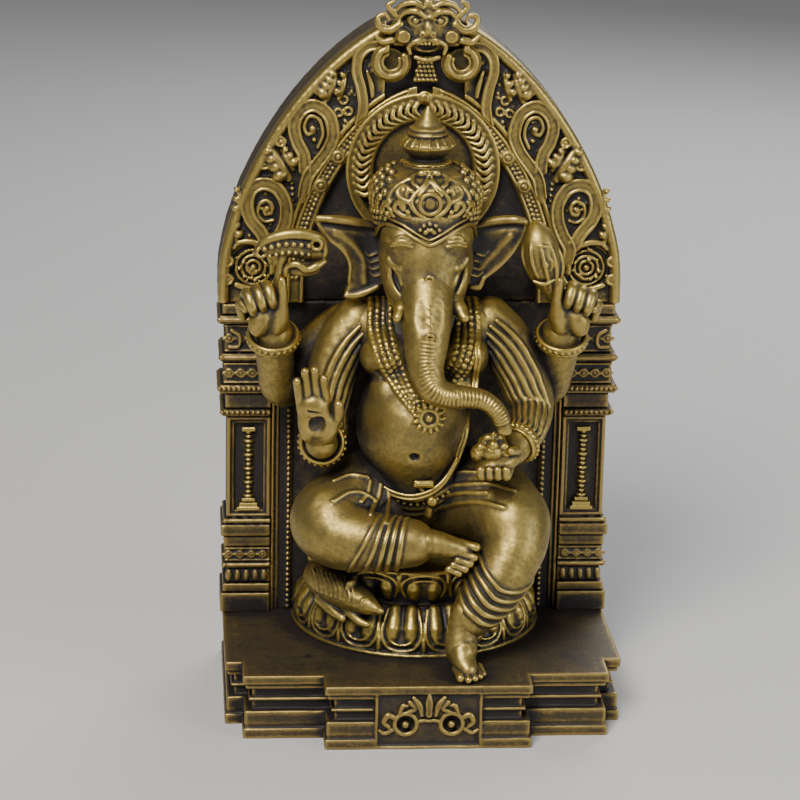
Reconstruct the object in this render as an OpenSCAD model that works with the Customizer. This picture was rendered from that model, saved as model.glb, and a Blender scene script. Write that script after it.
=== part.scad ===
// Seated elephant-headed idol on a lotus seat, in front of an arched throne back.
// Millimetres, +Z up, front towards -Y. The origin is at the centre of the foot of the plinth.

/* [Plinth] */
// Width of the plinth's outer tier
plinth_w = 105; // [90:1:130]
// Depth of the plinth from its front tier to the back of the throne
plinth_d = 72; // [66:1:88]
// Height of the plinth
plinth_h = 17.5; // [14:0.5:24]
// Half width of the plinth's middle tier
middle_tier_half_w = 48; // [34:1:50]
// Half width of the plinth's front tier
front_tier_half_w = 27; // [22:1:32]
// How far the middle tier stands behind the front tier
middle_tier_setback = 8; // [4:0.5:12]
// How far the outer tier stands behind the middle tier
outer_tier_setback = 9.7; // [4:0.1:12]
// Depth of the hollow mouldings in the plinth's sides
plinth_hollow = 2.6; // [1:0.1:3.5]
// Half width of the plain panel that carries the rosette
rosette_panel_half_w = 15; // [12:1:18]
// How far the rosette stands proud of its panel
rosette_relief = 1.2; // [0.8:0.1:2]

/* [Throne back] */
// Thickness of the throne from its pillars' faces to its back
throne_t = 17.3; // [14:0.1:22]
// Height of the pillars, from the plinth to the springing of the arch
pillar_h = 87.5; // [75:0.5:105]
// Half width of the throne at the pillars' widest moulding
pillar_half_w = 53.6; // [46:0.1:62]
// Width of a pillar
pillar_w = 14; // [11:0.5:18]
// How far the niche behind the figure is sunk from the pillars' faces
niche_depth = 4; // [2:0.1:6]
// Width of the moulded jamb at each pillar's inner side
jamb_w = 6; // [4:0.5:8]
// Half width of the arch at its springing
arch_half_w = 54; // [46:0.5:62]
// Rise of the arch from its springing to its point
arch_rise = 79; // [66:1:96]
// Width of the carved scroll border at the springing
scroll_border_w = 18; // [14:0.5:21]
// How far the carved scrolls stand proud of the border's bed
scroll_relief = 1.6; // [0.8:0.1:2.4]
// Rise of the inner arch above the springing
inner_rise = 59; // [50:1:62]
// Width of the inner arch's beaded band
inner_band_w = 5; // [3:0.5:7]
// Outer radius of the ribbed halo
halo_r = 20.5; // [17:0.5:23]
// Width of the halo's ribbed rim
halo_rim_w = 7; // [4:0.5:9]
// Height of the halo's centre above the springing
halo_up = 36.5; // [32:0.5:38]
// Height of the monster face's top above the springing
crest_top = 82.5; // [80:0.5:100]

/* [Lotus seat] */
// Radius of the lower lotus
lotus_r = 34; // [28:0.5:36]
// Height of the lower lotus
lower_lotus_h = 12.5; // [9:0.5:16]
// Height of the narrow waist between the two lotuses
waist_h = 2.5; // [1.5:0.5:4]
// Height of the upper lotus
upper_lotus_h = 8; // [6:0.5:12]
// How much narrower the waist is than the lower lotus
waist_inset = 7; // [4:0.5:10]
// Petals in a full ring of either lotus
petal_count = 30; // [20:2:40]
// How far a petal stands proud of the lotus
petal_relief = 0.9; // [0.4:0.1:1.4]

/* [Figure] */
// Height of the figure from the top of the lotus seat to the top of its head
figure_h = 96; // [84:1:108]
// Largest half width of the belly
belly_r = 15.5; // [14:0.5:20]
// Half width of the shoulders, between the arms' first joints
shoulder_half_w = 19; // [16:0.5:22]
// Half width of the head at the temples
head_r = 12.2; // [10:0.2:14]
// Radius of the crown at its widest
crown_r = 14.5; // [12:0.5:17]
// Height of the crown's dome
crown_h = 17; // [13:0.5:21]
// Height of the crown's turned finial
finial_h = 15; // [11:0.5:19]
// Radius of the trunk where it leaves the face
trunk_r = 7.2; // [5.5:0.1:8.5]
// Radius of an upper arm
arm_r = 5.2; // [4:0.1:6]
// Radius of the bracelets on the raised rear wrists
rear_bracelet_r = 6; // [5.5:0.1:8]
// Radius of the bracelets on the front wrists
front_bracelet_r = 5; // [4:0.1:6]
// Thickness of a bracelet's wire
bracelet_t = 2.2; // [1.4:0.1:3]
// Thickness of the ears
ear_t = 2.4; // [1.6:0.1:3.5]
// Height of the jewelled band round the foot of the crown
diadem_h = 4.4; // [3:0.2:6]
// How far that band stands proud of the crown
diadem_relief = 0.8; // [0.4:0.1:1.4]
// Radius of the round jewel at the front of the crown
jewel_r = 2.6; // [1.8:0.1:3.4]

/* [Hidden] */
$fn = 48;

front_y = -plinth_d / 2;
back_y = plinth_d / 2;
pillar_face_y = back_y - throne_t;
niche_y = pillar_face_y + niche_depth;
middle_y = front_y + middle_tier_setback;
outer_y = middle_y + outer_tier_setback;
spring_z = plinth_h + pillar_h;
panel_half_w = pillar_half_w - pillar_w;

arch_power = 1.6;      // how square the arch's shoulders are
inner_power = 1.7;
inner_half_w = arch_half_w - scroll_border_w;
halo_z = spring_z + halo_up;
halo_t = niche_depth - 1;
plate_y = niche_y;     // face of the arch plate that the carving stands on

seat_z = plinth_h + lower_lotus_h + waist_h + upper_lotus_h;
lotus_y = pillar_face_y - 1.7;
k = figure_h / 96;     // size of the figure against its nominal height
gold = [0.52, 0.43, 0.2];
dull_gold = [0.36, 0.29, 0.15];
bright_gold = [0.66, 0.55, 0.27];

// ---------------------------------------------------------------- general shapes

function unit(v) = v / norm(v);

// A Catmull-Rom curve through points of any length, with a number of steps between each two.
function curve_at(p, i, t) = let (
        a = p[max(i - 1, 0)], b = p[i], c = p[i + 1], d = p[min(i + 2, len(p) - 1)])
    0.5 * (2 * b + (c - a) * t + (2 * a - 5 * b + 4 * c - d) * t * t
        + (3 * b - a - 3 * c + d) * t * t * t);
function curve(p, steps) = [for (i = [0 : len(p) - 2], s = [0 : steps - 1])
    curve_at(p, i, s / steps), p[len(p) - 1]];

function place(v) = [v[0], v[1], v[2]];

// Joins rings of equal length into one closed solid.
module skin(rings) {
    n = len(rings[0]);
    m = len(rings);
    walls = [for (j = [0 : m - 2], i = [0 : n - 1]) let (i2 = (i + 1) % n)
        each [[j * n + i, j * n + i2, (j + 1) * n + i2],
            [j * n + i, (j + 1) * n + i2, (j + 1) * n + i]]];
    first = [for (i = [n - 1 : -1 : 0]) i];
    last = [for (i = [0 : n - 1]) (m - 1) * n + i];
    polyhedron([for (r = rings) each r], concat(walls, [first, last]), convexity = 6);
}

// A limb: a round tube with rounded ends through points [x, y, z, radius].
module limb(points, steps = 2, sides = 12) {
    c = curve(points, steps);
    m = len(c);
    dirs = [for (i = [0 : m - 1])
        unit(place(c[min(i + 1, m - 1)]) - place(c[max(i - 1, 0)]))];
    sideways = turn_along(dirs, cross(abs(dirs[0][1]) < 0.9 ? [0, 1, 0] : [1, 0, 0], dirs[0]), 0);
    caps = [[0.88, 0.5], [0.45, 0.9]];
    starts = [for (j = [1 : -1 : 0])
        round_ring(place(c[0]) - dirs[0] * c[0][3] * caps[j][1], dirs[0], sideways[0],
            c[0][3] * caps[j][0], sides)];
    middles = [for (i = [0 : m - 1])
        round_ring(place(c[i]), dirs[i], sideways[i], c[i][3], sides)];
    ends = [for (j = [0 : 1])
        round_ring(place(c[m - 1]) + dirs[m - 1] * c[m - 1][3] * caps[j][1], dirs[m - 1],
            sideways[m - 1], c[m - 1][3] * caps[j][0], sides)];
    skin(concat(starts, middles, ends));
}
// Carries one sideways direction along a line of directions without twisting it.
function turn_along(dirs, a, i) = let (b = unit(a - (a * dirs[i]) * dirs[i]))
    i == len(dirs) - 1 ? [b] : concat([b], turn_along(dirs, b, i + 1));
function round_ring(c, dir, a, r, sides) = let (b = cross(dir, a))
    [for (i = [0 : sides - 1]) c + r * (cos(360 * i / sides) * b + sin(360 * i / sides) * a)];

// A body of level oval rings [x, y, z, half width, half depth].
module oval_loft(sections, steps = 2, sides = 22) {
    c = curve(sections, steps);
    skin([for (s = c) [for (i = [0 : sides - 1])
        [s[0] - s[3] * sin(360 * i / sides), s[1] - s[4] * cos(360 * i / sides), s[2]]]]);
}

// A level stack of blocks. Each layer is [height, inset], and inset pulls all sides in.
module stack(half_w, y0, y1, layers, i = 0, z = 0) {
    if (i < len(layers)) {
        inset = layers[i][1];
        translate([-half_w + inset, y0 + inset, z])
            cube([2 * (half_w - inset), y1 - y0 - inset, layers[i][0]]);
        stack(half_w, y0, y1, layers, i + 1, z + layers[i][0]);
    }
}

module mirrored(side) {
    mirror([side < 0 ? 1 : 0, 0, 0]) children();
}

// An upright outline, drawn in X and Z, from a near face to a far face in Y.
module upright(y0, y1) {
    translate([0, y1, 0]) rotate([90, 0, 0]) linear_extrude(y1 - y0) children();
}

// ---------------------------------------------------------------- plinth

plinth_layers = [[0.16, 0], [0.05, 0.25], [0.22, 0.2], [0.14, 1], [0.05, 0.6], [0.16, 1],
    [0.08, 0.25], [0.14, 0]];

module plinth_tier(half_w, y0) {
    stack(half_w, y0, back_y, [for (l = plinth_layers) [l[0] * plinth_h, l[1] * plinth_hollow]]);
}

module plinth() color(dull_gold) difference() {
    union() {
        plinth_tier(plinth_w / 2, outer_y);
        plinth_tier(middle_tier_half_w, middle_y);
        plinth_tier(front_tier_half_w, front_y);
        translate([-rosette_panel_half_w, front_y, 0])
            cube([2 * rosette_panel_half_w, middle_tier_setback, plinth_h]);
    }
    translate([-rosette_panel_half_w + 1, front_y - 1, plinth_h * 0.12])
        cube([2 * rosette_panel_half_w - 2, rosette_relief + 1, plinth_h * 0.76]);
}

rosette_r = plinth_h * 0.18;
module plinth_rosette() color(bright_gold) {
    z = plinth_h * 0.4;
    y = front_y + rosette_relief;
    for (side = [-1, 1]) translate([side * rosette_r * 1.55, y, z]) rotate([90, 0, 0])
        difference() {
            cylinder(r = rosette_r, h = rosette_relief);
            translate([0, 0, -1]) cylinder(r = rosette_r * 0.5, h = rosette_relief + 2);
        }
    for (a = [-55, 0, 55]) translate([0, y, z + rosette_r * 0.9]) rotate([90, a, 0])
        translate([0, rosette_r * 0.75, 0]) cylinder(r = rosette_r * 0.42, h = rosette_relief);
    translate([-rosette_r * 1.55, y - rosette_relief, z - rosette_r * 0.3])
        cube([rosette_r * 3.1, rosette_relief, rosette_r * 1.4]);
}

// ---------------------------------------------------------------- throne back

module back_panel() color(dull_gold)
    translate([-panel_half_w, niche_y, plinth_h])
        cube([2 * panel_half_w, back_y - niche_y, pillar_h]);

// Mouldings of a pillar from its foot up, as shares of its height and of its width.
pillar_layers = [[0.065, 0.03], [0.03, 0.08], [0.05, 0.16], [0.02, 0.1], [0.05, 0.14],
    [0.035, 0.1], [0.04, 0.04], [0.02, 0.12], [0.33, 0.15], [0.025, 0.06], [0.05, 0.12],
    [0.03, 0], [0.07, 0.1], [0.03, 0.03], [0.09, 0.12], [0.03, 0], [0.035, 0.06]];
function layers_h(n) = n == 0 ? 0 : layers_h(n - 1) + pillar_layers[n - 1][0] * pillar_h;
panel_layer = 8;       // the layer that is the pillar's tall shaft
shaft_z = plinth_h + layers_h(panel_layer);
shaft_h = pillar_layers[panel_layer][0] * pillar_h;
shaft_inset = pillar_layers[panel_layer][1] * pillar_w;
shaft_recess = 1.6;
shaft_border = 2;

pillar_core_inset = 0.16 * pillar_w;
module pillar(side) mirrored(side) color(dull_gold) difference() {
    union() {
        translate([panel_half_w, pillar_face_y + pillar_core_inset * 0.6, plinth_h])
            cube([pillar_w - pillar_core_inset, throne_t - pillar_core_inset * 0.6, pillar_h]);
        for (i = [0 : len(pillar_layers) - 1]) {
            inset = pillar_layers[i][1] * pillar_w;
            if (inset < pillar_core_inset)
                translate([panel_half_w, pillar_face_y + inset * 0.6, plinth_h + layers_h(i)])
                    cube([pillar_w - inset, throne_t - inset * 0.6, pillar_layers[i][0] * pillar_h]);
        }
    }
    translate([panel_half_w + shaft_border, pillar_face_y + shaft_inset * 0.6 - 1,
            shaft_z + shaft_border])
        cube([pillar_w - shaft_inset - 2 * shaft_border, shaft_recess + 1,
            shaft_h - 2 * shaft_border]);
}
module left_pillar() pillar(-1);
module right_pillar() pillar(1);

// A small turned half column that stands in the shaft's recess.
module colonnette(side) mirrored(side) color(bright_gold) {
    h = shaft_h - 2 * shaft_border;
    foot_w = (pillar_w - shaft_inset - 2 * shaft_border) * 0.8;
    y = pillar_face_y + shaft_inset * 0.6 + shaft_recess;
    x = panel_half_w + (pillar_w - shaft_inset) / 2;
    r = foot_w * 0.17;
    intersection() {
        translate([x, y, shaft_z + shaft_border]) {
            for (i = [0 : 2]) translate([-foot_w / 2 + i * foot_w * 0.09, -2 + i * 0.2, i * h * 0.05])
                cube([foot_w * (1 - i * 0.18), 4, h * 0.05]);
            translate([0, 0, h * 0.15]) rotate_extrude() polygon(concat([[0, 0]],
                [for (i = [0 : 40]) [r * (1 + 0.28 * abs(sin(i * 40.5))), i * h * 0.8 / 40]],
                [[0, h * 0.8]]));
        }
        translate([x - foot_w, y - 4, shaft_z]) cube([2 * foot_w, 4, shaft_h]);
    }
}
module left_colonnette() colonnette(-1);
module right_colonnette() colonnette(1);

// Reeded strips and a plain bed for beads, between a pillar and the niche.
jamb_reeds = 3;
jamb_h = pillar_h * 0.72;
module jamb(side) mirrored(side) color(dull_gold) {
    reed_w = jamb_w * 0.6 / jamb_reeds;
    translate([panel_half_w - jamb_w, niche_y - niche_depth * 0.3, plinth_h])
        cube([jamb_w, niche_depth * 0.3, jamb_h]);
    for (i = [0 : jamb_reeds - 1])
        translate([panel_half_w - (i + 1) * reed_w, niche_y - niche_depth * 0.3, plinth_h])
            translate([0, -niche_depth * (0.4 - 0.12 * i), 0])
                cube([reed_w, niche_depth * (0.4 - 0.12 * i), jamb_h]);
}
module left_jamb() jamb(-1);
module right_jamb() jamb(1);

// ---------------------------------------------------------------- arch

// Half width of a pointed arch at a height, from its half width and rise.
function arch_x(h, half_w, rise, power) =
    half_w * pow(max(0, 1 - pow(max(0, h) / rise, power)), 1 / power);
arch_drop = 7;         // straight stretch of the arch above the pillars
arch_steps = 20;
function arch_side(half_w, rise, power) = [for (i = [0 : arch_steps])
    let (h = rise * sin(90 * i / arch_steps)) [arch_x(h, half_w, rise, power), arch_drop + h]];
function arch_outline(half_w, rise, power) = let (s = arch_side(half_w, rise, power))
    concat([[-half_w, 0], [half_w, 0]], s,
        [for (i = [arch_steps - 1 : -1 : 0]) [-s[i][0], s[i][1]]]);
arch_h = arch_rise - arch_drop;
inner_h = inner_rise - arch_drop;

module arch_solid(half_w, rise, power, y0, y1)
    translate([0, 0, spring_z]) upright(y0, y1) polygon(arch_outline(half_w, rise, power));

module halo_disc(r, y0, y1)
    translate([0, y1, halo_z]) rotate([90, 0, 0]) cylinder(r = r, h = y1 - y0);

module arch_plate() color(dull_gold)
    arch_solid(arch_half_w, arch_h, arch_power, plate_y, back_y);

crest_half_w = arch_half_w * 0.27;
crest_foot_z = spring_z + inner_rise + 1;
border_rim_w = 2.4;
// Places for the carved scrolls along the border: height above the springing, radius.
scrolls = [[9, 0.3], [27.5, 0.34], [47, 0.3]];
function border_x(h) = arch_x(h - arch_drop, arch_half_w, arch_h, arch_power);
// The carved border: a bed, a raised rim along the outer edge, and coiled scrolls.
module scroll_border(side) color(gold) difference() {
    union() {
        arch_solid(arch_half_w, arch_h, arch_power, pillar_face_y + scroll_relief, plate_y);
        difference() {
            arch_solid(arch_half_w, arch_h, arch_power, pillar_face_y, plate_y);
            arch_solid(arch_half_w - border_rim_w, arch_h - border_rim_w, arch_power,
                pillar_face_y - 1, plate_y + 1);
        }
        for (c = scrolls) {
            r = scroll_border_w * c[1];
            translate([side * (border_x(c[0]) - border_rim_w - r - 1), plate_y, spring_z + c[0]])
                rotate([90, 0, 0]) difference() {
                    cylinder(r = r, h = niche_depth);
                    translate([0, 0, niche_depth - scroll_relief * 0.7])
                        cylinder(r = r * 0.72, h = niche_depth);
                }
            translate([side * (border_x(c[0]) - border_rim_w - r - 1), plate_y, spring_z + c[0]])
                rotate([90, 0, 0]) cylinder(r = r * 0.42, h = niche_depth);
        }
    }
    arch_solid(inner_half_w, inner_h, inner_power, pillar_face_y - 1, plate_y + 1);
    translate([side > 0 ? -100 : 0, pillar_face_y - 1, spring_z - 1])
        cube([100, niche_depth + 2, 200]);
    translate([-crest_half_w, pillar_face_y - 1, crest_foot_z])
        cube([2 * crest_half_w, niche_depth + 2, 60]);
}
module left_scroll_border() scroll_border(-1);
module right_scroll_border() scroll_border(1);

// One leg of the inner arch, which ends against the halo.
module inner_arch_leg(side) color(gold) difference() {
    arch_solid(inner_half_w, inner_h, inner_power, plate_y - halo_t, plate_y);
    arch_solid(inner_half_w - inner_band_w, inner_h - inner_band_w * 1.2, inner_power,
        plate_y - halo_t - 1, plate_y + 1);
    halo_disc(halo_r, plate_y - halo_t - 1, plate_y + 1);
    translate([side > 0 ? -100 : 0, plate_y - halo_t - 1, spring_z - 1])
        cube([100, halo_t + 2, 200]);
}
module left_inner_arch() inner_arch_leg(-1);
module right_inner_arch() inner_arch_leg(1);

halo_bed = 0.8;
module halo() color(gold) difference() {
    halo_disc(halo_r, plate_y - halo_t, plate_y);
    halo_disc(halo_r - halo_rim_w, plate_y - halo_t - 1, plate_y - halo_bed);
}

// ---------------------------------------------------------------- crest

crest_t = niche_depth + 5;
crest_ring_r = 4.7;
crest_ring_z = crest_foot_z + crest_ring_r + 0.8;
crest_ring_x = 9.2;

// A monster's face: round brows, eyes, cheeks and snout on a plate with a lobed outline.
crest_h = crest_top - inner_rise - 1;
module crest_face() color(gold) difference() {
    union() {
        translate([0, 0, crest_foot_z + crest_h]) upright(plate_y - niche_depth, plate_y) {
            translate([0, -5]) circle(r = 5);
            for (side = [-1, 1]) {
                translate([side * 5.5, -7]) circle(r = 4.4);
                translate([side * (crest_half_w - 4.6), -9.5]) circle(r = 4.6);
                translate([side * 7, -12]) circle(r = 4);
            }
            translate([-6, -16]) square([12, 12]);
        }
        for (side = [-1, 1]) {
            translate([side * 6.3, plate_y - niche_depth, crest_foot_z + crest_h - 11.5])
                sphere(3.8);
            translate([side * 3.3, plate_y - niche_depth, crest_foot_z + crest_h - 5.5])
                sphere(2.6);
        }
        translate([0, plate_y - niche_depth - 1.4, crest_foot_z + crest_h - 9.2]) sphere(2.6);
    }
    for (side = [-1, 1]) crest_ring_shape(side, crest_ring_r + 0.05);
    arch_plate();
}
module crest_ring_shape(side, r)
    translate([side * crest_ring_x, plate_y, crest_ring_z]) rotate([90, 0, 0])
        cylinder(r = r, h = niche_depth + 1.5);
module crest_ring(side) color(bright_gold) difference() {
    crest_ring_shape(side, crest_ring_r);
    translate([side * crest_ring_x, plate_y - 1, crest_ring_z]) rotate([90, 0, 0])
        cylinder(r = crest_ring_r * 0.55, h = niche_depth + 2);
}
module left_crest_ring() crest_ring(-1);
module right_crest_ring() crest_ring(1);

module crest_tassel() color(dull_gold) difference() {
    translate([0, 0, crest_foot_z]) upright(plate_y - niche_depth, plate_y)
        polygon([[-3.4, 0], [3.4, 0], [3.4, 8], [-3.4, 8]]);
    for (side = [-1, 1]) crest_ring_shape(side, crest_ring_r + 0.05);
    crest_face();
}

// ---------------------------------------------------------------- lotus seat

// The lotuses are round in front of the niche, and stay between the jambs.
seat_side = panel_half_w - jamb_w;
module seat_clip() translate([-seat_side, -200, 0]) cube([2 * seat_side, 200 + niche_y, 200]);
module seat_round(profile, z) intersection() {
    translate([0, lotus_y, z]) rotate_extrude($fn = 96) polygon(profile);
    seat_clip();
}
// A bulging band: points [radius, height] on a half wave between two radii.
function bulge(r0, r1, h, swell) = [for (i = [0 : 10])
    [r0 + (r1 - r0) * i / 10 + swell * sin(18 * i), h * i / 10]];

// Petals: round bosses along a lotus, only where it stands clear of the niche.
module petal_ring(r, z, h) for (i = [0 : petal_count - 1]) {
    a = 360 * (i + 0.5) / petal_count;
    if (lotus_y + r * sin(a) < niche_y - h && abs(r * cos(a)) < seat_side - h * 0.6)
        translate([(r + petal_relief - h * 0.6) * cos(a),
            lotus_y + (r + petal_relief - h * 0.6) * sin(a), z]) sphere(h * 0.6);
}
module lower_lotus_body() seat_round(concat([[0, 0], [lotus_r, 0], [lotus_r, lower_lotus_h * 0.12]],
    [for (p = bulge(lotus_r - 1.4, lotus_r - waist_inset, lower_lotus_h * 0.88, 2.2))
        p + [0, lower_lotus_h * 0.12]], [[0, lower_lotus_h]]), plinth_h);
module lower_lotus() color(bright_gold) {
    lower_lotus_body();
    petal_ring(lotus_r - 0.9, plinth_h + lower_lotus_h * 0.46, lower_lotus_h * 0.5);
}
module lotus_waist() color(dull_gold) seat_round([[0, 0], [lotus_r - waist_inset - 0.5, 0],
    [lotus_r - waist_inset - 0.5, waist_h], [0, waist_h]], plinth_h + lower_lotus_h);
module upper_lotus() color(bright_gold) {
    seat_round(concat([[0, 0]],
        bulge(lotus_r - waist_inset, lotus_r - waist_inset + 2.5, upper_lotus_h, 1.2),
        [[0, upper_lotus_h]]), plinth_h + lower_lotus_h + waist_h);
    petal_ring(lotus_r - waist_inset + 2.2, seat_z - upper_lotus_h * 0.5, upper_lotus_h * 0.6);
}
// Everything that a leg or the mouse rests against: the lotuses, with room for their petals.
module seat_shape() {
    lower_lotus_body();
    translate([0, lotus_y, 0])
        cylinder(r = lotus_r + petal_relief, h = plinth_h + lower_lotus_h * 0.78);
    translate([0, lotus_y, plinth_h + lower_lotus_h - 1])
        cylinder(r = lotus_r - waist_inset + 3.1 + petal_relief, h = waist_h + upper_lotus_h + 1);
}

// ---------------------------------------------------------------- figure

// A point of the figure: x and y from the seat's middle line, z from the seat.
function at(x, y, z, r) = [x * k, niche_y + (y - 22.7) * k, seat_z + z * k, r * k];
function oval(x, y, z, rx, ry) = [x * k, niche_y + (y - 22.7) * k, seat_z + z * k,
    rx * k, ry * k];
shoulder_z = 62;
shoulder_x = shoulder_half_w;

module wall_block() translate([-100, niche_y, 0]) cube([200, 60, 260]);

module torso_shape() oval_loft([oval(-2, 7, 13, belly_r + 1, 14), oval(-2.4, 7, 19, belly_r + 2.5, 16),
    oval(-3, 3.5, 27, belly_r + 1.5, 17.5), oval(-3.4, 2.6, 35, belly_r, 17),
    oval(-3, 4, 43, belly_r - 1.5, 15), oval(-2, 8, 51, belly_r - 1, 12.5),
    oval(-0.6, 10.5, 58, shoulder_x - 0.5, 11.5), oval(0, 11.5, 64, shoulder_x, 10.5),
    oval(0, 12, 69, shoulder_x * 0.72, 9), oval(0, 12, 73, shoulder_x * 0.42, 7)]);
module torso() color(gold) difference() {
    torso_shape();
    wall_block();
    legs_shape();
}

head_z = 84;
module head_shape() oval_loft([oval(-0.5, 0, 66, head_r * 0.55, 7), oval(-0.5, -0.5, 70, head_r * 0.74, 10),
    oval(-0.6, 0.6, 77, head_r * 0.92, 12.4), oval(-0.6, 1.6, head_z, head_r, 13.6),
    oval(-0.6, 2.8, 91, head_r * 0.95, 12.6), oval(-0.6, 3.6, 96, head_r * 0.6, 8)]);
module head() color(gold) difference() {
    head_shape();
    torso_shape();
    translate([-60, -60, seat_z + crown_z * k]) cube([120, 120, 60]);
}

trunk_path = [at(-0.6, -6, 78, trunk_r), at(-0.7, -12, 71, trunk_r * 0.94),
    at(-1.2, -16.5, 64, trunk_r * 0.8), at(-1.4, -19.2, 57.5, trunk_r * 0.63),
    at(0.5, -21, 53, trunk_r * 0.54), at(4.5, -21.8, 51.3, trunk_r * 0.45),
    at(9, -22.2, 51.1, trunk_r * 0.39), at(13.5, -22.2, 50.2, trunk_r * 0.35),
    at(17, -21.8, 47, trunk_r * 0.31), at(18.8, -21.2, 42.8, trunk_r * 0.27)];
module trunk_shape() limb(trunk_path, 2, 12);
module trunk() color(gold) difference() {
    trunk_shape();
    head_shape();
    torso_shape();
}

// Each ear is a flap that spreads from the head's side to a raised tip and a lower lobe. The
// head is turned a little, so the left ear spreads wider.
left_ear_points = [[9, 3, 88.4], [28, 4, 91.4], [21, 3.5, 82], [19.6, 2, 71.4], [9, 1, 74]];
right_ear_points = [[9, 3, 88.4], [24.6, 4, 91.4], [22.6, 3.5, 84], [14.4, 2, 73.4], [9, 1, 76]];
module ear_shape(side) mirrored(side) hull()
    for (p = side < 0 ? left_ear_points : right_ear_points)
        translate([p[0] * k, niche_y + (p[1] - 22.7) * k, seat_z + p[2] * k])
            sphere(r = ear_t / 2, $fn = 20);
module ear(side) color(gold) difference() {
    ear_shape(side);
    head_shape();
    torso_shape();
    diadem_shape();
}
module left_ear() ear(-1);
module right_ear() ear(1);

module tusk(side) color(bright_gold) difference() {
    limb([at(side * 7.2, -8.5, 72.5, 1.7), at(side * 8.8, -12, 70.3, 1.5),
        at(side * 9.2, -14.4, 69.4, 1)], 2, 10);
    head_shape();
    trunk_shape();
}
module left_tusk() tusk(-1);
module right_tusk() tusk(1);

crown_z = 89.5;
crown_y = 3.4;
module crown_shape() oval_loft([oval(-0.6, crown_y - 0.6, crown_z, head_r + 0.6, 13.4),
    oval(-0.6, crown_y, crown_z + crown_h * 0.2, crown_r - 0.6, 14.2),
    oval(-0.6, crown_y, crown_z + crown_h * 0.42, crown_r, 14.4),
    oval(-0.6, crown_y, crown_z + crown_h * 0.75, crown_r * 0.83, 12),
    oval(-0.6, crown_y + 0.8, crown_z + crown_h, crown_r * 0.48, 7)]);
module crown() color(bright_gold) difference() {
    crown_shape();
    wall_block();
    translate([-60, -60, seat_z]) cube([120, 120, (crown_z + diadem_h) * k]);
}
// The band follows the crown's foot, a little wider, with pointed leaves left to the finish.
module diadem_shape() oval_loft([
    oval(-0.6, crown_y - 0.6, crown_z - 0.6, head_r + 0.6 + diadem_relief, 13.4 + diadem_relief),
    oval(-0.6, crown_y - 0.3, crown_z + diadem_h * 0.5, crown_r - 0.2 + diadem_relief,
        13.8 + diadem_relief),
    oval(-0.6, crown_y, crown_z + diadem_h, crown_r + diadem_relief, 14.2 + diadem_relief)], 1);
module diadem() color(gold) difference() {
    diadem_shape();
    wall_block();
    translate([-60, -60, seat_z]) cube([120, 120, crown_z * k]);
}
module jewel() color(bright_gold) difference() {
    translate(place(at(-0.6, crown_y - 13.6, crown_z + crown_h * 0.5, 0))) rotate([82, 0, 0])
        cylinder(r = jewel_r * k, h = 3.2 * k, center = true);
    crown_shape();
    diadem_shape();
}
finial_profile = [[0, 0], [7.2, 0], [7.2, 1], [3.4, 1.9], [2.8, 2.6], [4.6, 4.4], [4.8, 5],
    [6, 5.1], [6, 5.6], [4, 8.5], [4.5, 8.6], [4.6, 9.3], [3, 9.9], [2.5, 10.2], [0.5, 14.6],
    [0, 15]];
module crown_finial() color(bright_gold)
    translate([-0.4 * k, niche_y + (crown_y + 0.8 - 22.7) * k, seat_z + (crown_z + crown_h) * k])
        rotate_extrude() polygon([for (p = finial_profile) [p[0] * k, p[1] * finial_h / 15 * k]]);

// A fist or hand is a short limb across the end of an arm.
rear_arm_lean = -1.8;  // both raised arms stand a little to the viewer's left
function rear_at(side, x, y, z, r) = at(side * x + rear_arm_lean, y, z, r);
module rear_arm_shape(side) limb([at(side * (shoulder_x - 2), 13.5, shoulder_z - 1, arm_r),
    at(side * (shoulder_x + 8), 13.5, 52, arm_r), rear_at(side, 34, 11.5, 43, arm_r * 0.92),
    rear_at(side, 36.8, 6.5, 49, arm_r * 0.92), rear_at(side, 37.6, 4, 56, arm_r),
    rear_at(side, 37.8, 3, 61, arm_r * 0.95)]);
module rear_hand_shape(side) limb([rear_at(side, 37.6, 2, 63.5, 4), rear_at(side, 39.6, 1, 67, 5.4),
    rear_at(side, 42, 0.8, 71, 5), rear_at(side, 43.2, 0.8, 74.5, 3.8)], 2, 10);
module rear_hand_node(side) color(gold) difference() {
    rear_hand_shape(side);
    rear_arm_shape(side);
    mirrored(side) side_block();
}
module rear_left_hand() rear_hand_node(-1);
module rear_right_hand() rear_hand_node(1);
module rear_arm_node(side) color(gold) difference() {
    rear_arm_shape(side);
    torso_shape();
    wall_block();
    front_arm_shape(side);
    mirrored(side) side_block();
}
// The pillar and jamb beside a raised arm, which the arm rests against.
module side_block() translate([panel_half_w - jamb_w, pillar_face_y - 0.05, 0])
    cube([60, 60, 260]);
module rear_left_arm() rear_arm_node(-1);
module rear_right_arm() rear_arm_node(1);

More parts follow.
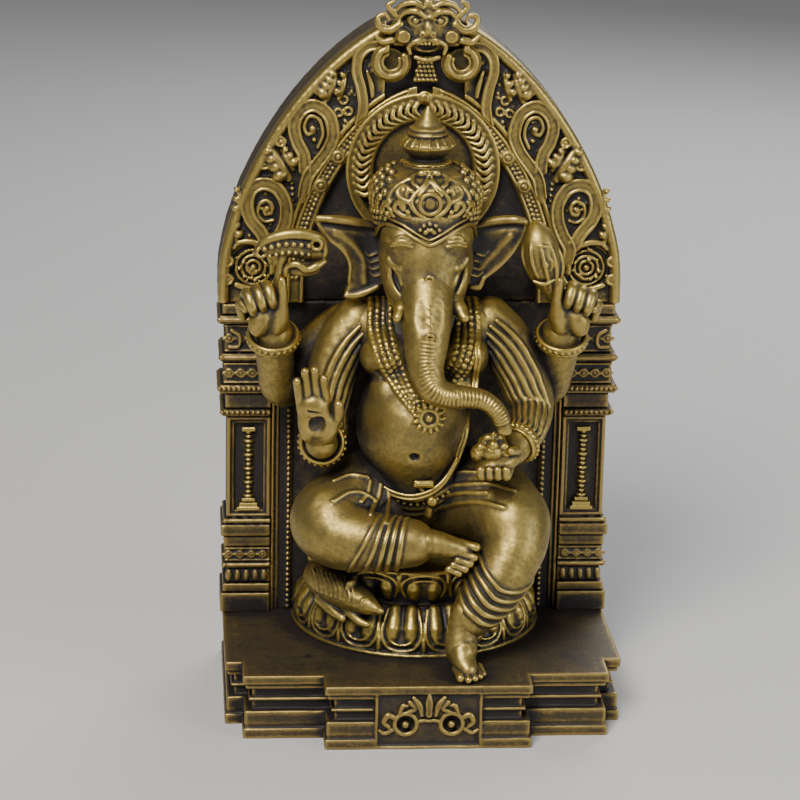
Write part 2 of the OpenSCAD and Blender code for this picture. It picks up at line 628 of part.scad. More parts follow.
// Front arms: the left hand blesses with an open palm and the right hand holds the sweets.
module front_arm_shape(side) {
    if (side < 0)
        limb([at(-shoulder_x, 7, shoulder_z - 1, arm_r * 1.1), at(-24.5, 5, 51, arm_r * 1.05),
            at(-26, 3, 40, arm_r), at(-26.5, -4, 34.4, arm_r * 0.9),
            at(-27.5, -10.5, 35, arm_r * 0.85)]);
    else
        limb([at(shoulder_x, 7, shoulder_z - 1, arm_r * 1.1), at(26, 5, 52, arm_r * 1.08),
            at(28.6, 0, 41, arm_r), at(26.5, -7, 36.4, arm_r * 0.85),
            at(22, -13.4, 33.6, arm_r * 0.76)]);
}
module front_hand_shape(side) {
    if (side < 0)
        limb([at(-27.8, -13, 36, 4), at(-29, -14.6, 42, 4.8), at(-30.6, -15.6, 49, 4),
            at(-31.8, -16.4, 54.5, 2.6)], 2, 10);
    else
        limb([at(21, -14.6, 32.8, 4), at(18, -17, 31, 4.6), at(14, -18.4, 31, 3.8)], 2, 10);
}
module front_hand_node(side) color(gold) difference() {
    front_hand_shape(side);
    front_arm_shape(side);
    torso_shape();
    legs_shape();
}
module front_left_hand() front_hand_node(-1);
module front_right_hand() front_hand_node(1);
module front_arm_node(side) color(gold) difference() {
    front_arm_shape(side);
    torso_shape();
    wall_block();
    legs_shape();
}
module front_left_arm() front_arm_node(-1);
module front_right_arm() front_arm_node(1);

// A bracelet is a ring round a wrist. A wider one hangs forwards, with its back on the wrist.
wrist_bracelet_y = 3.2 - (rear_bracelet_r - 6);
module bracelet(p, tilt, r) color(bright_gold)
    translate(place(p)) rotate(tilt) rotate_extrude($fn = 40)
        translate([r * k, 0]) circle(d = bracelet_t * k, $fn = 20);
module rear_left_bracelet() difference() {
    bracelet(rear_at(-1, 38, wrist_bracelet_y, 60, 0), [26, 0, 0], rear_bracelet_r);
    rear_arm_shape(-1);
}
module rear_right_bracelet() difference() {
    bracelet(rear_at(1, 38, wrist_bracelet_y, 60, 0), [26, 0, 0], rear_bracelet_r);
    rear_arm_shape(1);
}
module front_left_bracelet() difference() {
    bracelet(at(-27.2, -7.6, 34.4, 0), [78, 0, 0], front_bracelet_r);
    front_arm_shape(-1);
    legs_shape();
}
module front_right_bracelet() difference() {
    bracelet(at(24.4, -10.2, 35, 0), [60, 0, -35], front_bracelet_r);
    front_arm_shape(1);
}

// The axe's haft passes through the fist, and its head lies across the top.
module battle_axe() color(bright_gold) difference() {
    union() {
        limb([at(-40, 2, 66, 1.3), at(-38.4, 0.5, 76, 1.3), at(-37.5, 0, 82, 1.3)], 2, 10);
        translate([-35.2 * k, niche_y + (-2.5 - 22.7) * k, seat_z + 84.4 * k])
            upright(0, 5 * k) polygon([for (p = [[-8.6, -3], [-3, -1.4], [3, -4], [8.8, -6],
                [6.6, -1], [8.8, 3.8], [3, 3.2], [-4, 4.4], [-8.6, 2.6]]) p * k]);
    }
    rear_arm_shape(-1);
    rear_hand_shape(-1);
    ear_shape(-1);
}
module lotus_bud() color(bright_gold) difference() {
    limb([at(34.4, 2, 68, 1.6), at(31.8, 1, 73, 3), at(30.4, 0.5, 77, 6.2), at(29.4, 0.5, 82, 7),
        at(28.8, 0.5, 86, 5.6), at(28.2, 0.5, 90, 2.2)]);
    rear_hand_shape(1);
    ear_shape(1);
}
module sweet_bowl() color(bright_gold) difference() {
    limb([at(12.8, -17.4, 35, 2.6), at(14.6, -18.8, 36.6, 3.6), at(16.4, -18.4, 37.6, 3),
        at(18, -18.6, 37, 3.6), at(19.4, -18, 36, 2.6)], 2, 12);
    front_arm_shape(1);
    front_hand_shape(1);
    trunk_shape();
    torso_shape();
}

// ---------------------------------------------------------------- legs and dress

module folded_leg_shape() limb([at(-10, 6, 17, 12.5), at(-18, -1, 15, 12.5),
    at(-25.2, -8, 12.6, 10), at(-20.5, -14.2, 10, 9), at(-11, -16.4, 9.6, 8),
    at(-3, -17.4, 9.8, 6.6)], 2, 16);
module hanging_leg_shape() limb([at(9, 6, 17, 12.5), at(17, -2, 16.5, 12),
    at(23.2, -10.2, 12.4, 9.4), at(21, -16, 3, 8.6), at(15.6, -20, -4.6, 7.2),
    at(11, -22.4, -9.6, 5.6)], 2, 16);
module folded_foot_shape() limb([at(0, -18, 10.6, 5), at(6, -18.6, 9.4, 4.4),
    at(13, -18.4, 7, 2.8)], 2, 12);
module hanging_foot_shape() limb([at(9.4, -23.6, -11.4, 4.6), at(8.8, -24.6, -15, 4.4),
    at(9.6, -27.4, -18.6, 3.8), at(10.8, -30.4, -20.8, 2.4)], 2, 12);
module legs_shape() {
    folded_leg_shape();
    hanging_leg_shape();
}
module folded_leg() color(gold) difference() {
    folded_leg_shape();
    wall_block();
    seat_shape();
}
module hanging_leg() color(gold) difference() {
    hanging_leg_shape();
    folded_leg_shape();
    wall_block();
    seat_shape();
}
module plinth_block() translate([-60, -60, -1]) cube([120, 120, plinth_h + 1]);
module folded_foot() color(bright_gold) difference() {
    folded_foot_shape();
    legs_shape();
    seat_shape();
}
module hanging_foot() color(bright_gold) difference() {
    hanging_foot_shape();
    hanging_leg_shape();
    plinth_block();
    seat_shape();
}

// Strings that lie on the belly and chest follow these lines, just proud of the skin.
module lying_string(points) color(bright_gold) difference() {
    limb(points, 2, 8);
    torso_shape();
    legs_shape();
}
module belly_band() lying_string([at(-17.6, -8, 27.6, 1.5), at(-14, -11.4, 23.6, 1.5),
    at(-9, -14, 20.8, 1.5), at(-4, -15, 19.8, 1.5), at(2, -14, 22, 1.5), at(8, -10.6, 27, 1.5),
    at(12, -6.4, 33.6, 1.5)]);
module buckle() color(bright_gold) difference() {
    limb([at(-0.8, -14.4, 22.6, 2), at(-0.8, -15.2, 20.6, 2.6), at(-0.8, -16, 18, 1.6)], 2, 10);
    torso_shape();
    legs_shape();
    belly_band();
}
module sacred_thread() difference() {
    lying_string([at(13, -1.5, 60, 0.9), at(12.4, -6, 50, 0.9), at(11.4, -9.5, 42, 0.9),
        at(9.8, -11, 35, 0.9), at(8, -10.8, 29.5, 0.9)]);
    belly_band();
    necklace();
    trunk_shape();
}
module necklace() difference() {
    lying_string([at(-14.6, 2, 67, 2.4), at(-14.2, -1, 62, 2.4), at(-12, -3.8, 55, 2.4),
        at(-7.6, -8.4, 48, 2.2), at(-1, -11.6, 45, 2), at(5.6, -9.6, 48, 2.2), at(10.4, -4.4, 55, 2.4),
        at(12.6, -1, 62, 2.4), at(13, 2, 67, 2.4)]);
    head_shape();
    trunk_shape();
}
module pendant() color(bright_gold) difference() {
    translate(place(at(0.2, -13, 42.6, 0))) rotate([72, 0, 0])
        cylinder(r = 4 * k, h = 3.4 * k, center = true);
    torso_shape();
    trunk_shape();
    necklace();
}

// The mouse sits on the lower lotus beside the folded knee, so it moves with the lotus's edge.
function mouse_at(x, y, up, r) = [x * lotus_r / 34, lotus_y + y * lotus_r / 34,
    plinth_h + lower_lotus_h + up, r];
module mouse() color(gold) difference() {
    limb([mouse_at(-25.4, -16, 4.3, 5.2), mouse_at(-23, -20.6, 3.5, 5.6),
        mouse_at(-19.6, -25.2, 2.1, 4.6), mouse_at(-16.4, -29, 1.3, 2.9),
        mouse_at(-13.4, -31.4, 0.9, 1.3)]);
    seat_shape();
    legs_shape();
}

plinth();
plinth_rosette();
back_panel();
left_pillar();
right_pillar();
left_colonnette();
right_colonnette();
left_jamb();
right_jamb();
arch_plate();
left_scroll_border();
right_scroll_border();
left_inner_arch();
right_inner_arch();
halo();
crest_face();
left_crest_ring();
right_crest_ring();
crest_tassel();
lower_lotus();
lotus_waist();
upper_lotus();
torso();
belly_band();
buckle();
sacred_thread();
necklace();
pendant();
head();
trunk();
left_ear();
right_ear();
left_tusk();
right_tusk();
diadem();
crown();
jewel();
crown_finial();
rear_left_arm();
rear_right_arm();
front_left_arm();
front_right_arm();
rear_left_hand();
rear_right_hand();
front_left_hand();
front_right_hand();
rear_left_bracelet();
rear_right_bracelet();
front_left_bracelet();
front_right_bracelet();
battle_axe();
lotus_bud();
sweet_bowl();
folded_leg();
hanging_leg();
folded_foot();
hanging_foot();
mouse();
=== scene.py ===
import math

import bpy
import numpy as np
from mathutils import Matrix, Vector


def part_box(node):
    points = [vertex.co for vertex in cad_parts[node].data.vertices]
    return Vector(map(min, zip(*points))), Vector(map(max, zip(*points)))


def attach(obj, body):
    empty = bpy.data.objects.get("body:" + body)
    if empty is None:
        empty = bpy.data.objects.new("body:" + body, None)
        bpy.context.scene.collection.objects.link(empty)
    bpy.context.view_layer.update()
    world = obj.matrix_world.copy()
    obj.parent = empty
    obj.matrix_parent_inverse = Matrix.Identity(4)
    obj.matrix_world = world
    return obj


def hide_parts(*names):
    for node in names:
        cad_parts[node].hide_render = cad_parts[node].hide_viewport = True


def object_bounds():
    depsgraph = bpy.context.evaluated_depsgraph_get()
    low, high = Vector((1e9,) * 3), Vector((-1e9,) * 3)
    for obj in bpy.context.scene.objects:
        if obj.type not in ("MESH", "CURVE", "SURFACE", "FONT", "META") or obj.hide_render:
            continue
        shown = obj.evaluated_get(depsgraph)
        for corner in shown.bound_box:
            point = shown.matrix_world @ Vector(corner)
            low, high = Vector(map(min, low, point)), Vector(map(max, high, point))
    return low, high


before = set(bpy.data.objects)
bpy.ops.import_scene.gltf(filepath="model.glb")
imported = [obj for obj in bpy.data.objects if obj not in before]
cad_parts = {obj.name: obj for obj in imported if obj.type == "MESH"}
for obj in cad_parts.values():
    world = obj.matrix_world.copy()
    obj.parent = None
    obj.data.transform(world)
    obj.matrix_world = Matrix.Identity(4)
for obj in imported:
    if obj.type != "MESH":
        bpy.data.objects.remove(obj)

import openvdb as vdb
from mathutils import Matrix, Vector

CAD_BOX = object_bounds()
MM = 0.001
FAR = 2.5            # distances beyond this aren't kept
INWARD = (0, 1, 0)   # from the front towards the wall
SIDES = {-1: "left", 1: "right"}
rng = np.random.default_rng(7)


def cad(node):
    """A node's box in millimetres."""
    low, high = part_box(node)
    return np.array(low) / MM, np.array(high) / MM


def centred(node):
    """A node's box and its centre."""
    low, high = cad(node)
    return low, high, (low + high) / 2


SEAT = cad("upper_lotus")[1][2]      # height of the seat's top
PLINTH = cad("plinth")[1][2]         # height of the plinth's top
SPRING = cad("arch_plate")[0][2]     # height at which the arch springs
NICHE = cad("back_panel")[0][1]      # the wall behind the figure
FACE = cad("left_pillar")[0][1]      # the throne's front


# ------------------------------------------------------------------ clay

def unit(v):
    """A vector, made one long."""
    v = np.asarray(v, float)
    return v / max(np.linalg.norm(v), 1e-9)


def flow(points, per=6):
    """A smooth curve through points of any width, as rows."""
    p = np.array(points, float)
    if len(p) < 3:
        return np.array([p[0] + (p[-1] - p[0]) * t for t in np.linspace(0, 1, per + 1)])
    q = np.vstack([2 * p[0] - p[1], p, 2 * p[-1] - p[-2]])
    out = []
    for a, b, c, d in zip(q, q[1:], q[2:], q[3:]):
        for t in np.arange(per) / per:
            out.append(0.5 * (2 * b + (c - a) * t + (2 * a - 5 * b + 4 * c - d) * t ** 2
                              + (3 * b - a - 3 * c + d) * t ** 3))
    out.append(p[-1])
    return np.array(out)


def spaced(points, gap):
    """Points along a curve at an even gap."""
    p = np.asarray(points, float)
    run = np.r_[0, np.cumsum(np.linalg.norm(np.diff(p[:, :3], axis=0), axis=1))]
    n = max(int(run[-1] / gap), 1)
    s = np.linspace(0, run[-1], n + 1)
    return np.column_stack([np.interp(s, run, p[:, i]) for i in range(p.shape[1])])


def blur(a, n):
    """A box blur, n cells each way, along all three axes."""
    for axis in range(3):
        a = np.moveaxis(a, axis, 0)
        pad = np.concatenate([np.repeat(a[:1], n + 1, 0), a, np.repeat(a[-1:], n, 0)])
        c = np.cumsum(pad, 0, dtype=np.float32)
        a = np.moveaxis((c[2 * n + 1:] - c[:-2 * n - 1]) / (2 * n + 1), 0, axis)
    return a


def rounded(u, v, soft):
    """Distance to a softened edge between two faces that are u and v away."""
    return (np.sqrt(np.maximum(u, 0) ** 2 + np.maximum(v, 0) ** 2)
            + np.minimum(np.maximum(u, v), 0) - soft)


def round_axis(c, n, x, y, z):
    """Height along the axis n through c, and distance from it."""
    x, y, z = x - c[0], y - c[1], z - c[2]
    h = x * n[0] + y * n[1] + z * n[2]
    return h, np.sqrt(np.maximum(x * x + y * y + z * z - h * h, 0))


def between(field, g):
    """Values of a field at places between its cells. g counts in cells."""
    g = g.clip(0, np.array(field.shape) - 1.001)
    i = g.astype(int)
    f = (g - i).astype(np.float32)
    out = 0
    for dx, dy, dz in np.ndindex(2, 2, 2):
        w = np.abs(1 - dx - f[:, 0]) * np.abs(1 - dy - f[:, 1]) * np.abs(1 - dz - f[:, 2])
        out = out + w * field[i[:, 0] + dx, i[:, 1] + dy, i[:, 2] + dz]
    return out


class Clay:
    """A block that strokes are added to. grain is the size of its cells."""

    def __init__(self, low, high, grain):
        self.grain = grain
        self.low = np.array(low, float) - 4 * grain
        self.count = np.ceil((np.array(high) - self.low) / grain).astype(int) + 4
        self.axes = [(self.low[i] + grain * np.arange(self.count[i])).astype(np.float32)
                     for i in range(3)]
        self.d = np.full(self.count, FAR, np.float32)

    def window(self, low, high):
        """The cells between two corners, and their coordinates."""
        a = np.floor((np.array(low) - self.low) / self.grain).astype(int)
        b = np.ceil((np.array(high) - self.low) / self.grain).astype(int) + 1
        a, b = a.clip(0, self.count), b.clip(0, self.count)
        if (b <= a).any():
            return None, None
        where = tuple(slice(i, j) for i, j in zip(a, b))
        grids = [self.axes[i][where[i]] for i in range(3)]
        return where, np.meshgrid(*grids, indexing="ij", sparse=True)

    def merge(self, where, new, blend, cut):
        """Adds or cuts new distances, with a seam that is softened over blend."""
        old = self.d[where]
        if cut:
            new = -new
        k = max(blend, 1e-3)
        h = np.maximum(k - np.abs(old - new), 0) / k
        edge = h * h * k * 0.25
        self.d[where] = (np.maximum(old, new) + edge) if cut else (np.minimum(old, new) - edge)
        return self

    def stroke(self, shape, low, high, blend, cut=False):
        """Adds or cuts a shape, given as a distance function, between two corners."""
        pad = FAR * 0.7 + blend
        where, grid = self.window(np.array(low) - pad, np.array(high) + pad)
        return self if where is None else self.merge(where, shape(*grid), blend, cut)

    def ball(self, c, r, blend=0.4, cut=False):
        c = np.asarray(c, float)
        return self.stroke(lambda x, y, z: np.sqrt((x - c[0]) ** 2 + (y - c[1]) ** 2
                                                   + (z - c[2]) ** 2) - r,
                           c - r, c + r, blend, cut)

    def egg(self, c, radii, blend=0.8, turn=(0, 0, 0), cut=False):
        """An ellipsoid, turned by degrees about X, Y and Z."""
        c, s = np.asarray(c, float), np.asarray(radii, float)
        m = np.array(Matrix.Rotation(math.radians(turn[2]), 3, "Z")
                     @ Matrix.Rotation(math.radians(turn[1]), 3, "Y")
                     @ Matrix.Rotation(math.radians(turn[0]), 3, "X"))

        def shape(x, y, z):
            x, y, z = x - c[0], y - c[1], z - c[2]
            u = [(m[0, i] * x + m[1, i] * y + m[2, i] * z) for i in range(3)]
            k0 = np.sqrt(sum((u[i] / s[i]) ** 2 for i in range(3)))
            k1 = np.sqrt(sum((u[i] / s[i] ** 2) ** 2 for i in range(3))) + 1e-6
            return k0 * (k0 - 1) / k1
        r = np.sqrt((m ** 2) @ (s ** 2))
        return self.stroke(shape, c - r, c + r, blend, cut)

    def slab(self, low, high, soft=0.5, blend=0.3, cut=False):
        """A box with softened edges."""
        low, high = np.array(low, float), np.array(high, float)
        c, h = (low + high) / 2, (high - low) / 2 - soft

        def shape(x, y, z):
            q = [np.abs(v - c[i]) - h[i] for i, v in enumerate((x, y, z))]
            out = np.sqrt(sum(np.maximum(v, 0) ** 2 for v in q))
            return out + np.minimum(np.maximum(np.maximum(q[0], q[1]), q[2]), 0) - soft
        return self.stroke(shape, low, high, blend, cut)

    def tube(self, points, blend=0.5, cut=False, per=6, flat=None, smooth=True):
        """A round stroke through points [x, y, z, radius]. flat is (direction, factor) for a
        strap that is thin along that direction."""
        p = flow(points, per) if smooth else np.array(points, float)
        r = p[:, 3].max()
        low, high = p[:, :3].min(0) - r, p[:, :3].max(0) + r
        pad = FAR * 0.7 + blend
        where, _ = self.window(low - pad, high + pad)
        if where is None:
            return self
        best = np.full(self.d[where].shape, 2 * FAR, np.float32)
        start = [s.start for s in where]
        for a, b in zip(p, p[1:]):
            length = np.linalg.norm(b[:3] - a[:3])
            if length < 1e-6:
                continue
            big = max(a[3], b[3]) + pad
            w, g = self.window(np.minimum(a, b)[:3] - big, np.maximum(a, b)[:3] + big)
            if w is None:
                continue
            local = tuple(slice(max(s.start - o, 0), max(s.stop - o, 0)) for s, o in zip(w, start))
            ab = (b[:3] - a[:3]) / length
            q = [g[i] - a[i] for i in range(3)]
            t = ((q[0] * ab[0] + q[1] * ab[1] + q[2] * ab[2]) / length).clip(0, 1)
            e = [q[i] - t * (ab[i] * length) for i in range(3)]
            dd = e[0] ** 2 + e[1] ** 2 + e[2] ** 2
            if flat is not None:
                n = unit(flat[0])
                n = unit(n - ab * (n @ ab))
                dd = dd + (flat[1] ** 2 - 1) * (e[0] * n[0] + e[1] * n[1] + e[2] * n[2]) ** 2
            d = np.sqrt(dd) - (a[3] + t * (b[3] - a[3]))
            best[local] = np.minimum(d, best[local])
        if flat is not None:
            best = best / flat[1] ** 0.5
        return self.merge(where, best, blend, cut)

    def wire(self, rows, r, blend, cut=False):
        """A stroke of one radius through rows that already lie close together."""
        rows = np.asarray(rows, float)[:, :3]
        return self.tube(np.column_stack([rows, np.full(len(rows), r)]), blend, cut, smooth=False)

    def ring(self, c, axis, big, r, blend=0.3, cut=False, stretch=1.0):
        """A torus about an axis. stretch over 1 makes a taller band along that axis."""
        c, n = np.asarray(c, float), unit(axis)

        def shape(x, y, z):
            h, out = round_axis(c, n, x, y, z)
            return np.sqrt((out - big) ** 2 + (h / stretch) ** 2) - r
        s = big + r * stretch
        return self.stroke(shape, c - s, c + s, blend, cut)

    def disc(self, c, axis, r, half, soft=0.3, blend=0.3, cut=False):
        """A round plate with softened edges, that reaches half each way along its axis."""
        c, n = np.asarray(c, float), unit(axis)

        def shape(x, y, z):
            h, out = round_axis(c, n, x, y, z)
            return rounded(out - (r - soft), np.abs(h) - (half - soft), soft)
        return self.stroke(shape, c - r - half, c + r + half, blend, cut)

    def lathe(self, c, profile, blend=0.2):
        """A turned shape about a vertical axis. profile is [radius, height] rows."""
        c = np.asarray(c, float)
        prof = np.array(profile, float)
        r, h = prof[:, 0].max(), prof[:, 1]

        def shape(x, y, z):
            rad = np.sqrt((x - c[0]) ** 2 + (y - c[1]) ** 2) + 0 * z
            return outline_distance(rad, z - c[2] + 0 * rad, np.vstack(
                [[[-1, h[0]]], prof, [[-1, h[-1]]]]))
        return self.stroke(shape, c + [-r, -r, h.min()], c + [r, r, h.max()], blend)

    def plate(self, outline, y0, y1, soft=0.4, blend=0.3, cut=False, bow=None):
        """An upright plate with an outline in X and Z. bow(x, z) moves it in Y."""
        o = np.array(outline, float)

        def shape(x, y, z):
            u = outline_distance(x[:, :, 0] + 0 * z[0], z[0] + 0 * x[:, :, 0], o)
            u = u[:, None, :] + soft
            if bow is not None:
                y = y - bow(x, z)
            return rounded(u, np.abs(y - (y0 + y1) / 2) - ((y1 - y0) / 2 - soft), soft)
        reach = 3 if bow is not None else 0
        return self.stroke(shape, [o[:, 0].min(), y0 - reach, o[:, 1].min()],
                           [o[:, 0].max(), y1 + reach, o[:, 1].max()], blend, cut)

    def beads(self, points, r, gap, blend=0.25, smooth=True):
        """Beads at an even gap along a curve."""
        p = np.array([q[:3] for q in points], float)
        for c in spaced(flow(p, 8) if smooth else p, gap):
            self.ball(c, r, blend)
        return self

    def limit(self, axis, low=None, high=None):
        """Trims everything beyond a level plane on one axis."""
        shape = [1, 1, 1]
        shape[axis] = -1
        v = self.axes[axis].reshape(shape)
        if low is not None:
            self.d = np.maximum(self.d, low - v)
        if high is not None:
            self.d = np.maximum(self.d, v - high)
        return self

    def weather(self, depth=0.08, size=5.0, seed=1):
        """Slight unevenness, as in a cast from a hand-modelled original."""
        r = np.random.default_rng(seed)
        grid = np.meshgrid(*self.axes, indexing="ij", sparse=True)
        total = 0
        for _ in range(3):
            a = r.normal(size=3)
            a *= 2 * np.pi / size / np.linalg.norm(a)
            b = r.normal(size=3)
            b *= 2 * np.pi / (size * 0.6) / np.linalg.norm(b)
            waves = [np.sin(sum(v[i] * grid[i] for i in range(3)) + r.uniform(0, 6))
                     for v in (a, b)]
            total = total + waves[0] * waves[1]
        self.d = (self.d + depth * total * 0.28).astype(np.float32)
        return self


def outline_distance(u, v, loop):
    """Signed distance to a closed outline, negative inside."""
    best = np.full(np.broadcast(u, v).shape, 1e9, np.float32)
    sign = np.ones(best.shape, np.float32)
    for a, b in zip(loop, np.roll(loop, -1, 0)):
        e = b - a
        ll = e @ e
        if ll < 1e-12:
            continue
        wu, wv = u - a[0], v - a[1]
        t = ((wu * e[0] + wv * e[1]) / ll).clip(0, 1)
        best = np.minimum(best, (wu - e[0] * t) ** 2 + (wv - e[1] * t) ** 2)
        c1, c2, c3 = v >= a[1], v < b[1], e[0] * wv > e[1] * wu
        flip = (c1 & c2 & c3) | (~c1 & ~c2 & ~c3)
        sign = np.where(flip, -sign, sign)
    return sign * np.sqrt(best)


# ------------------------------------------------------------------ casting

CAST = []            # every cast piece, for the second pass and the paint
MERGE_FLAT = 0.006   # how readily flat areas of a mesh share larger faces
RELIEF_REACH = 0.7   # how far round a point its relief is judged
RELIEF_CAP = 1.2
WORLD_GRAIN = 1.0
WORLD_MARGIN = 12
world_low = np.array(CAD_BOX[0]) / MM - WORLD_MARGIN
world_high = np.array(CAD_BOX[1]) / MM + WORLD_MARGIN
world_count = np.ceil((world_high - world_low) / WORLD_GRAIN).astype(int)
world = np.full(world_count, FAR, np.float32)


def put(name, data):
    """A new object in the scene."""
    ob = bpy.data.objects.new(name, data)
    bpy.context.collection.objects.link(ob)
    return ob


def store(mesh, name, values):
    """Keeps one number for each point of a mesh."""
    layer = mesh.attributes.new(name, "FLOAT", "POINT")
    layer.data.foreach_set("value", values.astype(np.float32))


def cast(clay, name, slot, *nodes, mirror=False, look=None):
    """Turns clay into a piece that stands for CAD nodes. look names its paint, which is the
    slot's own unless it's given."""
    grid = vdb.FloatGrid(FAR)
    grid.copyFromArray(clay.d.clip(-FAR, FAR))
    cells, tris, quads = grid.convertToPolygons(0.0, MERGE_FLAT)
    points = cells.astype(np.float64) * clay.grain + clay.low
    reach = max(int(round(RELIEF_REACH / clay.grain)), 1)
    spread = blur(clay.d.clip(-RELIEF_CAP, RELIEF_CAP), reach)
    relief = between(spread, (points - clay.low) / clay.grain)
    if mirror:
        points[:, 0] *= -1
        tris, quads = tris[:, ::-1], quads[:, ::-1]
    corners = np.concatenate([tris.ravel(), quads.ravel()]).astype(np.int32)
    starts = np.r_[np.arange(len(tris)) * 3, len(tris) * 3 + np.arange(len(quads)) * 4]
    me = bpy.data.meshes.new(name)
    me.vertices.add(len(points))
    me.vertices.foreach_set("co", (points * MM).astype(np.float32).ravel())
    me.loops.add(len(corners))
    me.loops.foreach_set("vertex_index", corners)
    me.polygons.add(len(starts))
    me.polygons.foreach_set("loop_start", starts.astype(np.int32))
    me.update(calc_edges=True)
    me.validate()
    me.polygons.foreach_set("use_smooth", np.ones(len(me.polygons), bool))
    store(me, "relief", relief)
    ob = put(name, me)
    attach(ob, "root")
    if nodes:
        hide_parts(*nodes)
    # its place in the world grid, for the second pass
    flip = (-1 if mirror else 1, 1, 1)
    axes = [(world_low[i] + WORLD_GRAIN * np.arange(world_count[i])) * flip[i] for i in range(3)]
    idx = [np.round((axes[i] - clay.low[i]) / clay.grain).astype(int) for i in range(3)]
    ok = [np.nonzero((j >= 0) & (j < clay.count[i]))[0] for i, j in enumerate(idx)]
    if all(len(o) for o in ok):
        block = clay.d[np.ix_(*[idx[i][ok[i]] for i in range(3)])]
        view = np.ix_(*ok)
        world[view] = np.minimum(world[view], block)
    ob["paint"] = look or slot
    CAST.append(ob)


def second_pass():
    """Notes at every point how closely other material surrounds it, for undercoat and painted
    shade.
    """
    filled = (0.5 - world / WORLD_GRAIN).clip(0, 1)
    near = blur(blur(filled, 2), 1)
    wide = blur(blur(filled, 5), 3)
    for ob in CAST:
        me = ob.data
        co, no = np.empty((2, len(me.vertices) * 3), np.float32)
        me.vertices.foreach_get("co", co)
        me.vertex_normals.foreach_get("vector", no)
        co, no = co.reshape(-1, 3) / MM, no.reshape(-1, 3)
        store(me, "hollow", sum(
            share * between(field, (co + no * reach - world_low) / WORLD_GRAIN)
            for field, reach, share in ((near, 1.6, 0.6), (wide, 4.0, 0.7))))


# ------------------------------------------------------------------ paint

def paint(name, gold, patina_and_shade, cover, edge=3.2, rough=0.4, grain=1.0):
    """Antique gold rubbed over a dark undercoat, which enclosed places show partly as real
    undercoat and partly as painted shade. cover is how much gold an open, level surface holds, and
    edge how strongly raised edges catch it."""
    m = bpy.data.materials.new(name)
    m.use_nodes = True
    nodes, link = m.node_tree.nodes, m.node_tree.links.new
    bsdf = nodes["Principled BSDF"]

    def maths(op, a, b, c=None):
        n = nodes.new("ShaderNodeMath")
        n.operation = op
        for i, v in enumerate(v for v in (a, b, c) if v is not None):
            if isinstance(v, (int, float)):
                n.inputs[i].default_value = v
            else:
                link(v, n.inputs[i])
        return n.outputs[0]

    def spread(value, low, high, to_low, to_high):
        n = nodes.new("ShaderNodeMapRange")
        for key, v in zip(("From Min", "From Max", "To Min", "To Max"),
                          (low, high, to_low, to_high)):
            n.inputs[key].default_value = v
        link(value, n.inputs["Value"])
        return n.outputs[0]
    place = nodes.new("ShaderNodeTexCoord").outputs["Object"]

    def noise(scale, detail=4.0, roughness=0.6):
        n = nodes.new("ShaderNodeTexNoise")
        n.inputs["Scale"].default_value = scale
        n.inputs["Detail"].default_value = detail
        n.inputs["Roughness"].default_value = roughness
        link(place, n.inputs["Vector"])
        return n.outputs["Fac"]

    def attribute(name):
        n = nodes.new("ShaderNodeAttribute")
        n.attribute_name = name
        return n.outputs["Fac"]
    blotch, speck, fine = noise(140), noise(950, 3, 0.7), noise(2600 * grain, 2, 0.6)
    # raised edges catch the dry brush, and hollows keep the undercoat; where other parts close
    # round a point, this darkening is also painted shade
    wear_and_shade = maths("MULTIPLY_ADD", attribute("relief"), edge, cover)
    wear_and_shade = maths("SUBTRACT", wear_and_shade, spread(attribute("hollow"), 0.18, 0.75, 0.0, 0.85))
    wear_and_shade = maths("MULTIPLY_ADD", maths("SUBTRACT", blotch, 0.5), 0.5, wear_and_shade)
    wear_and_shade = maths("MULTIPLY_ADD", maths("SUBTRACT", speck, 0.5), 0.55, wear_and_shade)
    ramp = nodes.new("ShaderNodeValToRGB")
    link(wear_and_shade, ramp.inputs["Fac"])
    stops = ramp.color_ramp.elements
    stops[0].position, stops[0].color = 0.1, (*patina_and_shade, 1)
    stops[1].position, stops[1].color = 1.0, (*[min(c * 1.3, 0.95) for c in gold], 1)
    for at, share in ((0.34, 0.2), (0.5, 0.55), (0.68, 1.0)):
        stop = stops.new(at)
        stop.color = (*[share * g + (1 - share) * p for g, p in zip(gold, patina_and_shade)], 1)
    link(ramp.outputs["Color"], bsdf.inputs["Base Color"])
    link(spread(wear_and_shade, 0.15, 0.6, 0.1, 0.95), bsdf.inputs["Metallic"])
    dullness = spread(wear_and_shade, 0.1, 0.9, rough + 0.16, rough - 0.04)
    link(maths("MULTIPLY_ADD", maths("SUBTRACT", blotch, 0.5), 0.22, dullness),
         bsdf.inputs["Roughness"])
    bump = nodes.new("ShaderNodeBump")
    bump.inputs["Strength"].default_value = 0.3
    bump.inputs["Distance"].default_value = 0.00015
    link(maths("MULTIPLY_ADD", fine, 0.5, speck), bump.inputs["Height"])
    link(bump.outputs["Normal"], bsdf.inputs["Normal"])
    return m


# the dark coat under the gold: in enclosed places it stands partly for real undercoat and partly
# for painted shade (bronze_brown takes its own, slightly lighter one)
UNDERCOAT_AND_SHADE = (0.011, 0.008, 0.0075)
GOLD = paint("antique_gold", (0.40, 0.295, 0.085), UNDERCOAT_AND_SHADE, 0.56)
BRIGHT = paint("rubbed_gold", (0.46, 0.335, 0.085), UNDERCOAT_AND_SHADE, 0.56, 3.2, 0.37)
WORN = paint("worn_gold", (0.36, 0.262, 0.08), UNDERCOAT_AND_SHADE, 0.40, 3.4, 0.42)
DULL = paint("bronze_brown", (0.30, 0.215, 0.075), (0.014, 0.010, 0.009), 0.3, 3.6, 0.45, 1.3)
PAINTS = {"gold": GOLD, "bright_gold": BRIGHT, "worn_gold": WORN, "dull_gold": DULL}


# ------------------------------------------------------------------ plinth

